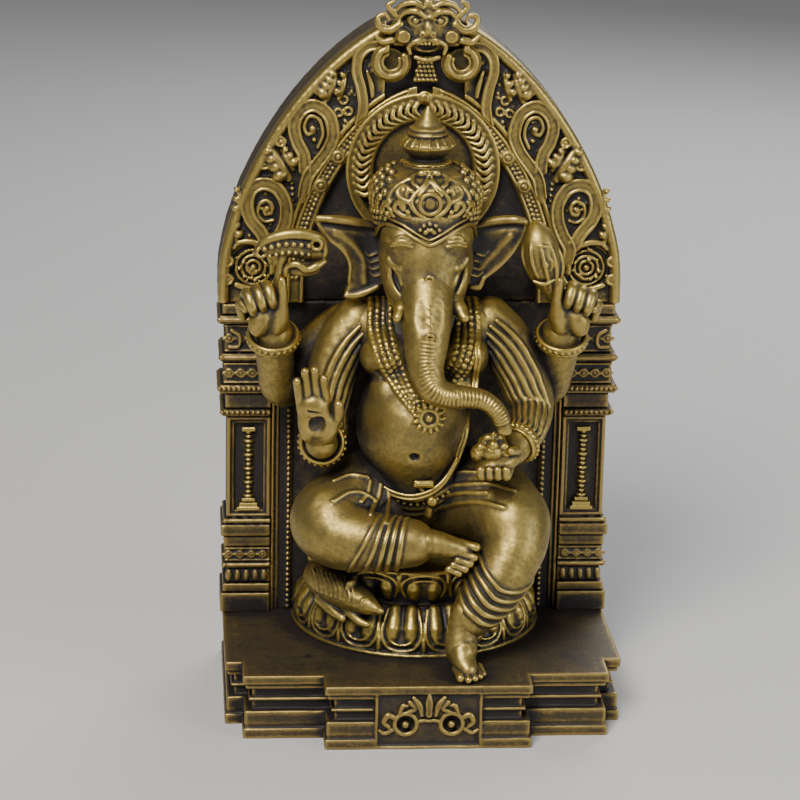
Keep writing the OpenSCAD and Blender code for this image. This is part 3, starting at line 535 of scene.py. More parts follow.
def soft_steps(clay, half_w, y0, y1, layers):
    """Mouldings from the ground up, through [height, how far it's set in]."""
    z = 0
    for height, inset in layers:
        clay.slab([-half_w + inset, y0 + inset, z], [half_w - inset, y1, z + height], 0.35, 0.3)
        z += height


def plinth():
    low, high = cad("plinth")
    h = high[2]
    clay = Clay(low, high, 0.34)
    tiers = [(high[0], FACE - 36.6), (48, low[1] + 8), (27, low[1])]
    layers = [(h * 0.16, 0), (h * 0.05, 0.7), (h * 0.22, 0.5), (h * 0.14, 2.6), (h * 0.05, 1.6),
              (h * 0.16, 2.6), (h * 0.08, 0.7), (h * 0.14, 0)]
    for half_w, y0 in tiers:
        clay.slab([-half_w + 2.7, y0 + 2.7, 0], [half_w - 2.7, high[1], h], 0.3)
        soft_steps(clay, half_w, y0, high[1], layers)
    clay.slab([-14, low[1] + 0.2, 0.2], [14, low[1] + 10, h - 0.4], 0.5)
    clay.slab([-13.2, low[1] - 2, h * 0.05], [13.2, low[1] + 0.8, h * 0.86], 0.6, 0.5, cut=True)
    for x in (-6.0, 6.0):
        clay.disc([x, low[1] + 0.4, h * 0.4], INWARD, 2.8, 1.9, 0.4, cut=True)
    clay.weather(0.1, 9, 3).limit(2, low=0.0).limit(1, high=high[1])
    cast(clay, "plinth_block", "dull_gold", "plinth")

    low, high = cad("plinth_rosette")
    clay = Clay(low - [6, 1, 2.4], high + [6, 1, 2.4], 0.2)
    y = low[1] + 0.5
    zc = PLINTH * 0.4
    for side in (-1, 1):
        c = np.array([side * 6.0, y, zc])

        def stem(points):
            """A tapering stroke at [out from the coil's centre, up, radius]."""
            clay.tube([[side * (6.0 + out), y, zc + up, r] for out, up, r in points], 0.25)
        clay.ring(c, INWARD, 2.9, 0.62)
        clay.ball(c + [0, 0.8, -0.5], 1.1)
        stem([(-3.0, 0.6, 0.6), (-4.6, 0.9, 0.5), (-6.0, 0.8, 0.5)])
        stem([(2.6, 1.6, 0.7), (4.6, 2.4, 0.9), (5.6, 0.6, 0.8), (4.4, -0.8, 0.6)])
        stem([(3.6, -1.6, 0.7), (5.4, -2.6, 0.6), (6.8, -1.8, 0.4)])
        stem([(-0.6, 3.2, 0.6), (-2.4, 4.4, 0.8), (-1.0, 6.0, 0.7)])
        stem([(-4.2, 2.6, 0.7), (-3.6, 5.0, 1.0), (-2.0, 7.2, 0.6)])
        stem([(1.6, 3.2, 0.5), (0.8, 5.0, 0.7), (-0.4, 5.0, 0.4)])
    clay.tube([[0, y, zc + 2.4, 0.8], [0, y - 0.2, zc + 5.6, 1.1], [0, y, zc + 8.6, 0.4]], 0.25)
    clay.ball([0, y - 0.3, zc + 3.0], 1.0)
    clay.limit(1, low=low[1] - 0.4, high=high[1] + 0.6)
    cast(clay, "plinth_scrollwork", "bright_gold", "plinth_rosette", look="worn_gold")


# ------------------------------------------------------------------ throne

def back():
    low, high = cad("back_panel")
    clay = Clay(low, high, 0.5)
    clay.slab(low, high, 0.3)
    clay.weather(0.16, 6, 11).weather(0.12, 2.6, 12).limit(1, high=high[1]).limit(2, low=low[2])
    cast(clay, "niche_ground", "dull_gold", "back_panel")


def arch_x(h, half_w, rise, power):
    """Half the width of a pointed arch at a height."""
    return half_w * np.maximum(0, 1 - np.power(np.maximum(0, h) / rise, power)) ** (1 / power)


ARCH_DROP = 7        # the straight foot of the arch, below its curve
ARCH_LOW, ARCH_HIGH = cad("arch_plate")
ARCH_HALF = ARCH_HIGH[0]
ARCH_RISE = ARCH_HIGH[2] - SPRING - ARCH_DROP
INNER_HALF = cad("right_inner_arch")[1][0]
INNER_RISE = 52.0
EDGE_POWER, INNER_POWER = 1.6, 1.7
SCROLL_RELIEF = 2.2  # how far the scrollwork stands proud of its bed
PEBBLES = 260        # in the ground of each scrolled border


def arch_curve(half_w, rise, power, start=0.0, stop=1.0, n=40):
    """Points [x, z] up the right side of a pointed arch."""
    t = np.linspace(start, stop, n)
    h = rise * np.sin(t * np.pi / 2)
    return np.column_stack([arch_x(h, half_w, rise, power), SPRING + ARCH_DROP + h])


def arch_outline(half_w, rise, power):
    """A closed arch with straight feet."""
    side = arch_curve(half_w, rise, power)
    return np.vstack([[[-half_w, SPRING], [half_w, SPRING]], side,
                      (side * [-1, 1])[::-1][1:]])


def arch_line(clay, half_w, rise, power, stop, y, r, blend, foot=0.0):
    """A raised line up the right side of an arch, which stops short of the top."""
    line = np.vstack([[[half_w, SPRING + foot]], arch_curve(half_w, rise, power, 0, stop)])
    clay.tube([[x, y, z, r] for x, z in line[::3]], blend, per=3)


def arch_ground():
    clay = Clay(ARCH_LOW, ARCH_HIGH, 0.5)
    clay.plate(arch_outline(ARCH_HALF, ARCH_RISE, EDGE_POWER), ARCH_LOW[1], ARCH_HIGH[1], 0.5)
    clay.weather(0.12, 5, 14).limit(1, high=ARCH_HIGH[1]).limit(2, low=SPRING)
    cast(clay, "arch_ground", "dull_gold", "arch_plate")


def leaf(clay, root, tip, y, r=1.4, lobes=3, side=1):
    """A curled acanthus leaf of overlapping lobes."""
    root, tip = np.array(root, float), np.array(tip, float)
    along = tip - root
    across = np.array([along[1], -along[0]]) / np.linalg.norm(along) * side
    for i in range(lobes):
        t = (i + 0.6) / lobes
        c = root + along * t
        size = r * (1.15 - 0.5 * t)
        end = c + across * size * 1.5 + along * 0.12
        clay.tube([[*place(c, y + 0.3), size * 0.55], [*place((c + end) / 2, y - 0.5), size * 0.8],
                   [*place(end, y + 0.1), size * 0.4]], 0.25, per=3)
    clay.tube([[*place(root, y), r * 0.5], [*place((root + tip) / 2, y - 0.4), r * 0.7],
               [*place(tip, y), r * 0.35]], 0.2, per=4)


def place(p, y):
    """Puts an [x, z] at a depth."""
    return p[0], y, p[1]


def loop_scroll(clay, points, y, r, wide):
    """A teardrop band: a broad flat band with a raised line along each side."""
    p = flow([[x, y, z] for x, z in points], 8)
    n = np.gradient(p, axis=0)
    n = np.column_stack([n[:, 2], 0 * n[:, 0], -n[:, 0]])
    n /= np.linalg.norm(n, axis=1, keepdims=True) + 1e-9
    body = np.column_stack([p, np.full(len(p), r)])
    clay.tube(body, 0.3, smooth=False, flat=(INWARD, 1.8))
    for s in (-1, 1):
        clay.wire(p + n * s * wide + [0, -r * 0.42, 0], 0.42, 0.12)


def border(side, seed):
    name = SIDES[side]
    low, high = cad("right_scroll_border")
    bed = FACE + SCROLL_RELIEF
    clay = Clay([low[0], FACE - 1.4, low[2] - 1], [high[0] + 1, NICHE + 1.5, high[2] + 6], 0.25)
    outer = arch_outline(ARCH_HALF, ARCH_RISE, EDGE_POWER)
    clay.plate(outer, bed, NICHE + 1.2, 0.4)
    clay.plate(arch_outline(INNER_HALF, INNER_RISE, INNER_POWER), FACE - 2, NICHE + 3, 0.3,
               0.3, cut=True)
    y = bed - 0.5
    # the smooth outer rim and the fine inner one
    arch_line(clay, ARCH_HALF - 1.5, ARCH_RISE - 2, EDGE_POWER, 0.83, bed - 0.2, 1.5, 0.4, 0.6)
    arch_line(clay, INNER_HALF + 0.9, INNER_RISE + 1.2, INNER_POWER, 0.8, y, 0.75, 0.3)
    # the upper teardrop scroll
    loop_scroll(clay, [(31.5, 134), (30.6, 139), (28, 143), (25.4, 146.6), (23.9, 151),
                       (25.2, 156), (28.8, 158.6), (32.4, 157.2), (34.2, 153.4), (33.4, 149),
                       (31.6, 145.2), (31.2, 141)], y, 1.7, 1.35)
    clay.tube([[27.9, y, 147.4, 0.55], [26.6, y, 151, 0.6], [27.6, y, 154.8, 0.6],
               [30.2, y, 155.6, 0.6], [31.6, y, 153, 0.6], [30.6, y, 150.8, 0.6],
               [29, y, 151.6, 0.7]], 0.2)
    clay.ball([29.4, y - 0.1, 152.4], 1.0)
    clay.ball([28.9, y + 0.2, 149.3], 0.7)
    # the middle teardrop scroll
    loop_scroll(clay, [(39, 116.5), (39.6, 120), (37.6, 124), (36.2, 128), (36.2, 132.4),
                       (38.6, 136.4), (42.4, 137.6), (45.4, 135.8), (46.4, 132), (45.4, 128),
                       (42.6, 124.4), (40.8, 121)], y, 1.8, 1.4)
    swirl = [[41.2 + 3.0 * (1 - i / 15) * math.cos(a), y, 130.6 + 3.6 * (1 - i / 15) * math.sin(a),
              0.5] for i, a in enumerate(np.linspace(-2.2, 6.6, 13))]
    clay.tube(swirl, 0.2, per=3)
    clay.ball([41.1, y - 0.1, 130.8], 0.9)
    for a in range(6):
        clay.ball([41.1 + 1.7 * math.cos(a), y + 0.1, 130.8 + 1.7 * math.sin(a)], 0.45)
    # the disc of rings at the springing, in a pit under a curled leaf, which the paint darkens as
    # undercoat and painted shade
    c = np.array([44.6, 0, 114.6])
    clay.disc(c + [0, bed, 0], INWARD, 6.2, 1.0, cut=True)
    for r in (4.7, 3.2, 1.8):
        clay.ring(c + [0, bed + 0.6, 0], INWARD, r, 0.5)
    clay.ball(c + [0, bed + 0.4, 0], 0.9)
    clay.tube([[39.6, y, 113.6, 0.9], [39.8, y, 117.4, 0.9], [41.8, y, 120.4, 0.9],
               [45, y, 121.8, 0.9], [48.2, y, 121.6, 0.8], [49.8, y, 120.2, 0.7]], 0.3)
    clay.tube([[38.6, y, 107, 0.8], [40.4, y, 108.2, 0.8], [44.6, y, 108.6, 0.9],
               [49.2, y, 110, 0.8]], 0.3)
    # round bosses along the rim
    for x, z in ((51.2, 116.6), (51.2, 111.6), (41.9, 142.8), (37.6, 148.9), (27.6, 162.6)):
        clay.ring([x, bed - 1.2, z], INWARD, 1.15, 0.42)
        clay.ball([x, bed - 1.0, z], 0.6)
    # leaves between the scrolls
    leaf(clay, (35.4, 139), (40.4, 147.4), y - 0.3, 2.0, 4, 1)
    leaf(clay, (34.4, 141.6), (37.4, 146.6), y - 0.1, 1.5, 3, -1)
    leaf(clay, (48.4, 129), (48.6, 136.4), y, 1.1, 3, 1)
    leaf(clay, (49.2, 122), (50.2, 129), y, 1.2, 3, -1)
    leaf(clay, (26, 160), (23.4, 167), y - 0.2, 1.8, 4, 1)
    leaf(clay, (22.6, 160.4), (20.8, 167), y, 1.4, 3, 1)
    for x, z in ((21.3, 160), (20, 157), (22.6, 156.6)):
        clay.ring([x, bed - 0.3, z], INWARD, 1.0, 0.45)
    clay.beads([[20.8, bed - 0.2, 154.4], [22, bed - 0.2, 149.6], [25, bed - 0.2, 144]], 0.6, 1.4)
    clay.beads([[34.6, bed, 137.6], [34.2, bed, 131], [35, bed, 124], [36.4, bed, 116]], 0.6, 1.5)
    # the long S beside the crest
    loop_scroll(clay, [(12.6, 174.6), (15.4, 174), (17.6, 171.4), (18, 167.6), (16.8, 163),
                       (16.2, 158.4), (17, 153.6)], y - 0.3, 1.3, 1.0)
    clay.tube([[13.8, y, 161, 0.6], [14.2, y, 164, 0.8], [15.2, y, 167.6, 0.5]], 0.3)
    # a pebbled ground
    for _ in range(PEBBLES):
        t = rng.uniform(0, 1)
        x, z = arch_curve(ARCH_HALF, ARCH_RISE, EDGE_POWER, t * 0.8, t * 0.8 + 0.01, 2)[0]
        s = rng.uniform(0.08, 0.62)
        clay.ball([x * (1 - s * 0.5), bed + 0.25, z - s * 12], rng.uniform(0.35, 0.7), 0.2)
    # nothing is left inside the inner arch or under the crest
    clay.plate(arch_outline(INNER_HALF - 0.4, INNER_RISE - 0.4, INNER_POWER), FACE - 4, NICHE + 3,
               0.2, 0.2, cut=True)
    clay.weather(0.07, 3.5, seed).limit(0, low=10.5).limit(2, low=SPRING + 0.1)
    clay.limit(1, low=FACE - 0.9, high=NICHE + 0.5)
    cast(clay, f"{name}_scrolls", "gold", f"{name}_scroll_border", mirror=side < 0)


def inner_arch(side, seed):
    name = SIDES[side]
    low, high = cad("right_inner_arch")
    clay = Clay([low[0], low[1] - 1, SPRING - 1], [high[0], NICHE + 1.5, high[2]], 0.24)
    clay.plate(arch_outline(INNER_HALF, INNER_RISE, INNER_POWER), low[1] + 0.5, NICHE + 1, 0.3)
    clay.plate(arch_outline(INNER_HALF - 5, INNER_RISE - 5, INNER_POWER), low[1] - 3, NICHE + 3,
               0.2, 0.2, cut=True)
    y = low[1] + 0.5
    for inset, r in ((0.6, 0.55), (4.2, 0.5)):
        arch_line(clay, INNER_HALF - inset, INNER_RISE - inset, INNER_POWER, 0.9, y, r, 0.2)
    for inset, r, gap in ((1.7, 0.55, 1.25), (2.9, 0.6, 1.35)):
        line = arch_curve(INNER_HALF - inset, INNER_RISE - inset, INNER_POWER, 0, 0.9)
        clay.beads([[x, y + 0.1, z] for x, z in line[::2]], r, gap)
    mid = arch_curve(INNER_HALF - 2.4, INNER_RISE - 2.4, INNER_POWER, 0, 1, 90)
    for share in (0.34, 0.47):
        x, z = mid[int(share * 89)]
        clay.egg([x, y, z], (2.3, 0.7, 2.3), 0.3, (0, 34, 0))
        clay.ring([x, y - 0.5, z], INWARD, 1.35, 0.32)
        clay.ball([x, y - 0.5, z], 0.7)
    halo_low, halo_high = cad("halo")
    clay.disc([0, y, (halo_low[2] + halo_high[2]) / 2], INWARD, halo_high[0] - 0.5, 6, 0.2,
              0.2, cut=True)
    clay.weather(0.06, 3, seed).limit(2, low=SPRING + 0.1).limit(0, low=2)
    clay.limit(1, low=low[1] - 0.5, high=NICHE + 0.5)
    cast(clay, f"{name}_inner_band", "gold", f"{name}_inner_arch", mirror=side < 0)


def halo():
    low, high = cad("halo")
    r, zc, y = high[0], (low[2] + high[2]) / 2, low[1]
    clay = Clay(low - [0.5, 1, 0.5], high + [0.5, 0.5, 0.8], 0.25)
    clay.disc([0, (y + NICHE) / 2 + 0.6, zc], INWARD, r, (NICHE - y) / 2 + 0.4, 0.4)
    clay.disc([0, y, zc], INWARD, r - 7, 1.9, 0.3, 0.4, cut=True)
    clay.ring([0, y + 0.6, zc], INWARD, r - 0.6, 0.6, 0.3)
    clay.ring([0, y + 0.8, zc], INWARD, r - 6.8, 0.6, 0.3)
    clay.ring([0, y + 0.9, zc], INWARD, r - 1.9, 0.35, 0.2)
    clay.ring([0, y - 0.2, zc], INWARD, r - 4.3, 1.9, 0.3, cut=True)
    for a in np.radians(np.arange(-25, 206, 7)):
        arc = []
        for t in np.linspace(0, 1, 5):
            turn = a + 0.1 * math.sin(math.pi * t) * (1 if math.cos(a) < 0 else -1)
            rr = r - 6.2 + 3.9 * t
            arc.append([rr * math.cos(turn), y + 0.55 - 0.35 * math.sin(math.pi * t),
                        zc + rr * math.sin(turn), 0.5 + 0.3 * math.sin(math.pi * t)])
        clay.tube(arc, 0.12, per=2)
        clay.ball([(r - 2) * math.cos(a), y + 0.6, zc + (r - 2) * math.sin(a)], 0.6)
    clay.ball([0, y + 0.3, zc + r - 1.2], 1.4)
    clay.ring([0, y + 0.3, zc + r - 1.2], INWARD, 1.5, 0.4)
    clay.weather(0.06, 4, 21).limit(1, low=y - 0.7, high=NICHE + 0.5)
    cast(clay, "ribbed_halo", "gold", "halo")


def crest():
    low, high = cad("crest_face")
    y = low[1] + 1.2
    top = high[2]
    clay = Clay([low[0] - 1, low[1] - 1.5, low[2] - 1], [high[0] + 1, NICHE + 1, top + 0.6], 0.24)
    z = top - 9
    clay.egg([0, y + 3.4, z + 1], (7.6, 4.4, 6.6), 1)
    clay.egg([0, y + 3, z + 5.4], (6.2, 3.8, 3.4), 1.2)
    clay.slab([-9, y + 2.4, low[2] + 3], [9, NICHE + 1, z + 3], 1)
    for s in (-1, 1):
        clay.egg([s * 3.2, y + 0.5, z + 3.4], (2.3, 1.8, 1.8), 0.5)
        clay.egg([s * 3.2, y - 1.0, z + 3.4], (1.7, 0.8, 1.2), 0.2, cut=True)
        clay.ball([s * 3.2, y - 0.1, z + 3.3], 1.05, 0.15)
        clay.tube([[s * 0.8, y - 0.5, z + 4.4, 0.8], [s * 3, y - 1, z + 5.9, 0.9],
                   [s * 5.8, y, z + 5.5, 0.8], [s * 7.6, y + 0.8, z + 3.6, 0.5]], 0.4)
        clay.tube([[s * 1.4, y - 0.4, z + 7, 0.8], [s * 4, y, z + 8, 0.9],
                   [s * 6.8, y + 0.8, z + 7.2, 0.8], [s * 8.2, y + 1, z + 5.8, 0.6]], 0.4)
        clay.egg([s * 6.2, y + 0.6, z - 0.8], (2.3, 1.9, 2.2), 0.5)
        clay.ring([s * 6.2, y - 0.8, z - 0.8], INWARD, 1.3, 0.4)
        clay.ball([s * 1.3, y - 0.6, z - 0.1], 1.0, 0.4)
        clay.ball([s * 1.5, y - 1.5, z - 0.4], 0.45, 0.2, cut=True)
        clay.tube([[s * 0.6, y - 0.2, z - 1.6, 0.7], [s * 2.8, y - 0.5, z - 1.9, 0.8],
                   [s * 4.8, y, z - 3.4, 0.7], [s * 4.4, y + 0.3, z - 5.4, 0.5]], 0.3)
        clay.tube([[s * 2.4, y - 0.5, z - 2.4, 0.6], [s * 2.6, y - 0.6, z - 4.6, 0.25]], 0.2)
        # horns that curl outwards
        clay.tube([[s * 7.2, y + 1, z + 2.2, 1.3], [s * 9.6, y + 0.6, z + 0.8, 1.2],
                   [s * 12.2, y + 0.6, z + 1.4, 1.0], [s * 13, y + 0.8, z + 3.8, 0.8],
                   [s * 11.2, y + 0.8, z + 4.8, 0.6], [s * 10, y + 0.8, z + 3.4, 0.4]], 0.4)
        clay.tube([[s * 8.4, y + 1.2, z + 4.6, 0.9], [s * 10.4, y + 1, z + 7, 0.7],
                   [s * 8.8, y + 1, z + 8.2, 0.5]], 0.3)
        clay.tube([[s * 9.2, y + 1.2, z - 2, 1.1], [s * 11.6, y + 1, z - 2.4, 0.9],
                   [s * 13.4, y + 1, z - 0.8, 0.5]], 0.3)
    clay.egg([0, y - 0.3, z + 1.3], (1.3, 1.5, 2.2), 0.5)
    clay.tube([[-2, y - 0.5, z + 3.6, 0.35], [0, y - 0.9, z + 4.4, 0.4],
               [2, y - 0.5, z + 3.6, 0.35]], 0.2)
    clay.egg([0, y + 0.6, top - 1.2], (1.6, 1.4, 1.8), 0.4)
    clay.egg([0, y - 0.2, z - 4.2], (3.5, 2.6, 1.7), 0.3, cut=True)
    clay.tube([[-3, y - 0.3, z - 6.2, 0.6], [0, y - 0.6, z - 6.9, 0.7], [3, y - 0.3, z - 6.2, 0.6]],
              0.3)
    for x in (-1.5, -0.5, 0.5, 1.5):
        clay.ball([x, y - 0.5, z - 2.7], 0.45, 0.15)
    clay.weather(0.06, 3, 31).limit(1, low=low[1] - 1, high=NICHE + 0.5).limit(2, high=top)
    cast(clay, "monster_mask", "gold", "crest_face")

    for side, name in SIDES.items():
        low, high, c = centred("right_crest_ring")
        clay = Clay(low - [2.5, 1, 1.6], high + [2, 1, 2.5], 0.2)
        r = (high[0] - low[0]) / 2 - 0.9
        for grow, thick, lift in ((0, 1.1, 0), (-1.5, 0.45, 0.1), (1.1, 0.4, 0.3)):
            turn = np.linspace(math.radians(155), math.radians(430), 12)
            path = [[c[0] + (r + grow) * math.cos(a), low[1] + 0.9 + lift,
                     c[2] + (r + grow) * math.sin(a), thick] for a in turn]
            path.append([c[0] + 0.4 * r, low[1] + 0.9 + lift, c[2] + 1.45 * r + grow * 0.4,
                         thick * 0.6])
            clay.tube(path, 0.2, per=3)
        clay.disc([c[0], NICHE - 0.9, c[2]], INWARD, r - 0.4, 1.2, 0.2)
        clay.weather(0.05, 3, 33).limit(1, low=low[1] - 0.6, high=NICHE + 0.4)
        cast(clay, f"{name}_hook_ring", "gold", f"{name}_crest_ring", mirror=side < 0)

    low, high, c = centred("crest_tassel")
    clay = Clay(low - [1, 1, 0.5], high + [1, 1, 0.6], 0.2)
    clay.plate([[low[0] + 0.3, low[2]], [high[0] - 0.3, low[2]], [high[0] - 1.6, high[2]],
                [low[0] + 1.6, high[2]]], low[1] + 0.7, high[1], 0.4)
    for row, z in enumerate(np.arange(low[2] + 0.7, high[2], 1.15)):
        wide = (high[0] - low[0]) / 2 - 0.5 - 1.2 * (z - low[2]) / (high[2] - low[2])
        for x in np.arange(-wide + 0.55 * (row % 2), wide + 0.01, 1.1):
            clay.ball([c[0] + x, low[1] + 0.7, z], 0.55, 0.12)
    clay.limit(1, high=NICHE + 0.4)
    cast(clay, "pebbled_tassel", "gold", "crest_tassel")


# from the foot up: share of the pillar's height, and share of its width that it's set in
PILLAR_LAYERS = [(0.065, 0.03), (0.03, 0.08), (0.05, 0.16), (0.02, 0.1), (0.05, 0.14),
                 (0.035, 0.1), (0.04, 0.04), (0.02, 0.12), (0.33, 0.15), (0.025, 0.06),
                 (0.05, 0.12), (0.03, 0), (0.07, 0.1), (0.03, 0.03), (0.09, 0.12), (0.03, 0),
                 (0.035, 0.06)]


def row_of_beads(clay, x0, x1, y, y1, z, r, gap):
    """Beads along a moulding's front and round its outer side."""
    clay.beads([[x0, y, z], [x1, y, z]], r, gap, 0.15, smooth=False)
    clay.beads([[x1, y, z], [x1, y1, z]], r, gap, 0.15, smooth=False)


def pillar(side, seed):
    name = SIDES[side]
    low, high = cad("right_pillar")
    w, h = high[0] - low[0], high[2] - low[2]
    clay = Clay(low - [0.5, 1, 0], high + [0.8, 0.5, 0.3], 0.26)
    clay.slab([low[0], low[1] + 2.4, low[2]], [high[0] - 2.4, high[1], high[2]], 0.2)
    z = low[2]
    levels = []
    for share, inset in PILLAR_LAYERS:
        t, i = share * h, inset * w
        levels.append((z, z + t, high[0] - i, low[1] + i * 0.6))
        clay.slab([low[0], low[1] + i * 0.6, z + 0.12], [high[0] - i, high[1], z + t - 0.12], 0.35,
                  0.1)
        z += t
    # the shaft is a sunk panel in a stepped frame
    a, b, x1, y0 = levels[8]
    clay.slab([low[0] + 2, y0 - 1, a + 2], [x1 - 2, y0 + 1.6, b - 2], 0.15, 0.1, cut=True)
    clay.slab([low[0] + 1.1, y0 - 1, a + 1.1], [x1 - 1.1, y0 + 0.5, b - 1.1], 0.15, 0.1, cut=True)
    clay.slab([x1 - 0.6, y0 + 3.4, a + 2], [x1 + 1, high[1] - 3, b - 2], 0.15, 0.1, cut=True)
    for i in (9, 11):
        a, b, x1, y0 = levels[i]
        row_of_beads(clay, low[0] + 0.6, x1, y0, high[1] - 0.6, (a + b) / 2 + 0.2, 0.62, 1.3)
    for i in (4, 12, 14):
        # an ornament band: small flowers between raised lines
        a, b, x1, y0 = levels[i]
        for zz in (a + 0.5, b - 0.5):
            clay.tube([[low[0], y0, zz, 0.35], [x1, y0, zz, 0.35]], 0.1, smooth=False)
            clay.tube([[x1, y0, zz, 0.35], [x1, high[1], zz, 0.35]], 0.1, smooth=False)
        mid = (a + b) / 2
        for x in np.arange(low[0] + 2, x1 - 0.5, 3.1):
            clay.ring([x, y0 - 0.1, mid], INWARD, min(1.0, (b - a) * 0.2), 0.32)
            clay.ball([x, y0 - 0.1, mid], 0.45)
            clay.ball([x + 1.55, y0, mid], 0.5)
        for yy in np.arange(y0 + 3, high[1] - 1.5, 3.1):
            clay.ring([x1 + 0.1, yy, mid], (1, 0, 0), min(1.0, (b - a) * 0.2), 0.32)
            clay.ball([x1 + 0.1, yy, mid], 0.45)
    # rolls under the ledges, and a band of upright leaves at the foot
    for i in (3, 7, 13, 15):
        a, b, x1, y0 = levels[i]
        clay.tube([[low[0], y0 + 0.2, (a + b) / 2, 0.75], [x1, y0 + 0.2, (a + b) / 2, 0.75]], 0.2,
                  smooth=False)
        clay.tube([[x1 - 0.1, y0, (a + b) / 2, 0.7], [x1 - 0.1, high[1], (a + b) / 2, 0.7]], 0.2,
                  smooth=False)
    a, b, x1, y0 = levels[2]
    for x in np.arange(low[0] + 1.6, x1, 2.4):
        clay.egg([x, y0 + 0.2, (a + b) / 2], (1.0, 0.9, (b - a) * 0.42), 0.2)
    a, b, x1, y0 = levels[14]
    clay.tube([[x1 - 1, y0 - 0.2, a + 1.6, 0.6], [x1 - 3.4, y0 - 0.2, a + 1.8, 0.6],
               [x1 - 3.8, y0 - 0.3, a + 4.6, 0.6], [x1 - 1.6, y0 - 0.3, b - 1.6, 0.6]], 0.2)
    clay.weather(0.07, 4.5, seed).limit(2, low=low[2], high=SPRING)
    clay.limit(0, low=low[0]).limit(1, low=low[1] - 0.5, high=high[1])
    cast(clay, f"{name}_moulded_pillar", "dull_gold", f"{name}_pillar", mirror=side < 0)

    low, high, c = centred("right_colonnette")
    clay = Clay(low - [0.3, 0.4, 0.2], high + [0.3, 0.6, 0.3], 0.18)
    w, h = high[0] - low[0], high[2] - low[2]
    y = high[1]
    for i in range(3):
        wide = w / 2 * (1 - 0.2 * i)
        clay.slab([c[0] - wide, low[1] + 0.25 * i, low[2] + i * h * 0.05],
                  [c[0] + wide, y + 0.4, low[2] + (i + 1) * h * 0.05 - 0.1], 0.2, 0.05)
    for i, z in enumerate(np.linspace(low[2] + h * 0.17, high[2] - 1.4, 15)):
        clay.egg([c[0], y, z], (w * (0.19 if i % 3 else 0.26), 1.5, h * 0.032), 0.12)
    clay.slab([c[0] - w * 0.3, low[1] + 0.5, high[2] - 1.2],
              [c[0] + w * 0.3, y + 0.4, high[2]], 0.2)
    clay.limit(1, low=low[1], high=high[1] + 0.3)
    cast(clay, f"{name}_turned_colonnette", "gold", f"{name}_colonnette", mirror=side < 0)

    low, high = cad("right_jamb")
    clay = Clay(low - [0.3, 0.5, 0], high + [0.3, 0.5, 0.4], 0.26)
    reed = (high[0] - low[0]) * 0.2
    clay.slab([low[0], high[1] - 1.2, low[2]], [high[0], high[1] + 0.3, high[2]], 0.2)
    for i in range(3):
        x = high[0] - reed * (i + 0.5)
        y = low[1] + 0.6 + 0.5 * i
        clay.slab([x - reed / 2 + 0.1, y, low[2]], [x + reed / 2 - 0.1, high[1] + 0.3,
                                                    high[2] - 0.4 * i], 0.35, 0.05)
    x = low[0] + 1.1
    clay.beads([[x, high[1] - 1.3, low[2] + 1], [x, high[1] - 1.3, high[2] - 1]], 0.72, 1.5,
               0.15, smooth=False)
    clay.weather(0.05, 4, seed + 1).limit(2, low=low[2]).limit(1, low=low[1], high=high[1] + 0.3)
    clay.limit(0, high=high[0] + 0.2)
    cast(clay, f"{name}_reeded_jamb", "dull_gold", f"{name}_jamb", mirror=side < 0)


# ------------------------------------------------------------------ lotus seat

LOTUS_LOW, LOTUS_HIGH = cad("lower_lotus")
LOTUS_R = LOTUS_HIGH[0]
LOTUS_Y = LOTUS_LOW[1] + LOTUS_R


def on_lotus(profile, a, z, lift=0.0):
    """A point on a turned surface at an angle from the front."""
    r = np.interp(z, [p[1] for p in profile], [p[0] for p in profile]) + lift
    return [r * math.sin(a), LOTUS_Y - r * math.cos(a), z]


def petals(clay, profile, count, z0, z1, r, offset=0.0, up=True):
    """A ring of broad petals, each with a swollen face, a raised rim and a split."""
    step = 2 * math.pi / count
    for i in range(count):
        a = (i + offset) * step
        if abs(math.atan2(math.sin(a), math.cos(a))) > 1.75:
            continue

        def p(u, v, lift):
            z = z0 + (z1 - z0) * (v if up else 1 - v)
            return on_lotus(profile, a + u * step * 0.46, z, lift)
        for u in (-0.46, 0.46):
            clay.tube([[*p(u, 0.06, -1.2), 1.9], [*p(u, 0.45, -0.9), 2.2],
                       [*p(u, 0.74, -1.1), 1.7]], 0.5, per=2)
        loop = [(-0.84, 0), (-0.97, 0.35), (-0.93, 0.66), (-0.62, 0.92), (0, 1), (0.62, 0.92),
                (0.93, 0.66), (0.97, 0.35), (0.84, 0)]
        clay.tube([[*p(u, v, 0.1), r] for u, v in loop], 0.2, per=2)
        clay.tube([[*p(u * 0.72, v * 0.8, 0.55), r * 0.75] for u, v in loop[1:-1]], 0.2, per=2)
        clay.tube([[*p(0, 0, 0.9), 0.3], [*p(0, 0.5, 1.1), 0.32], [*p(0, 0.78, 0.9), 0.25]], 0.2,
                  cut=True, per=2)
        clay.tube([[*p(1.08, 0.3, -0.2), 0.5], [*p(1.08, 0.7, 0), 0.7], [*p(1.08, 0.96, 0), 0.8]],
                  0.2, per=2)


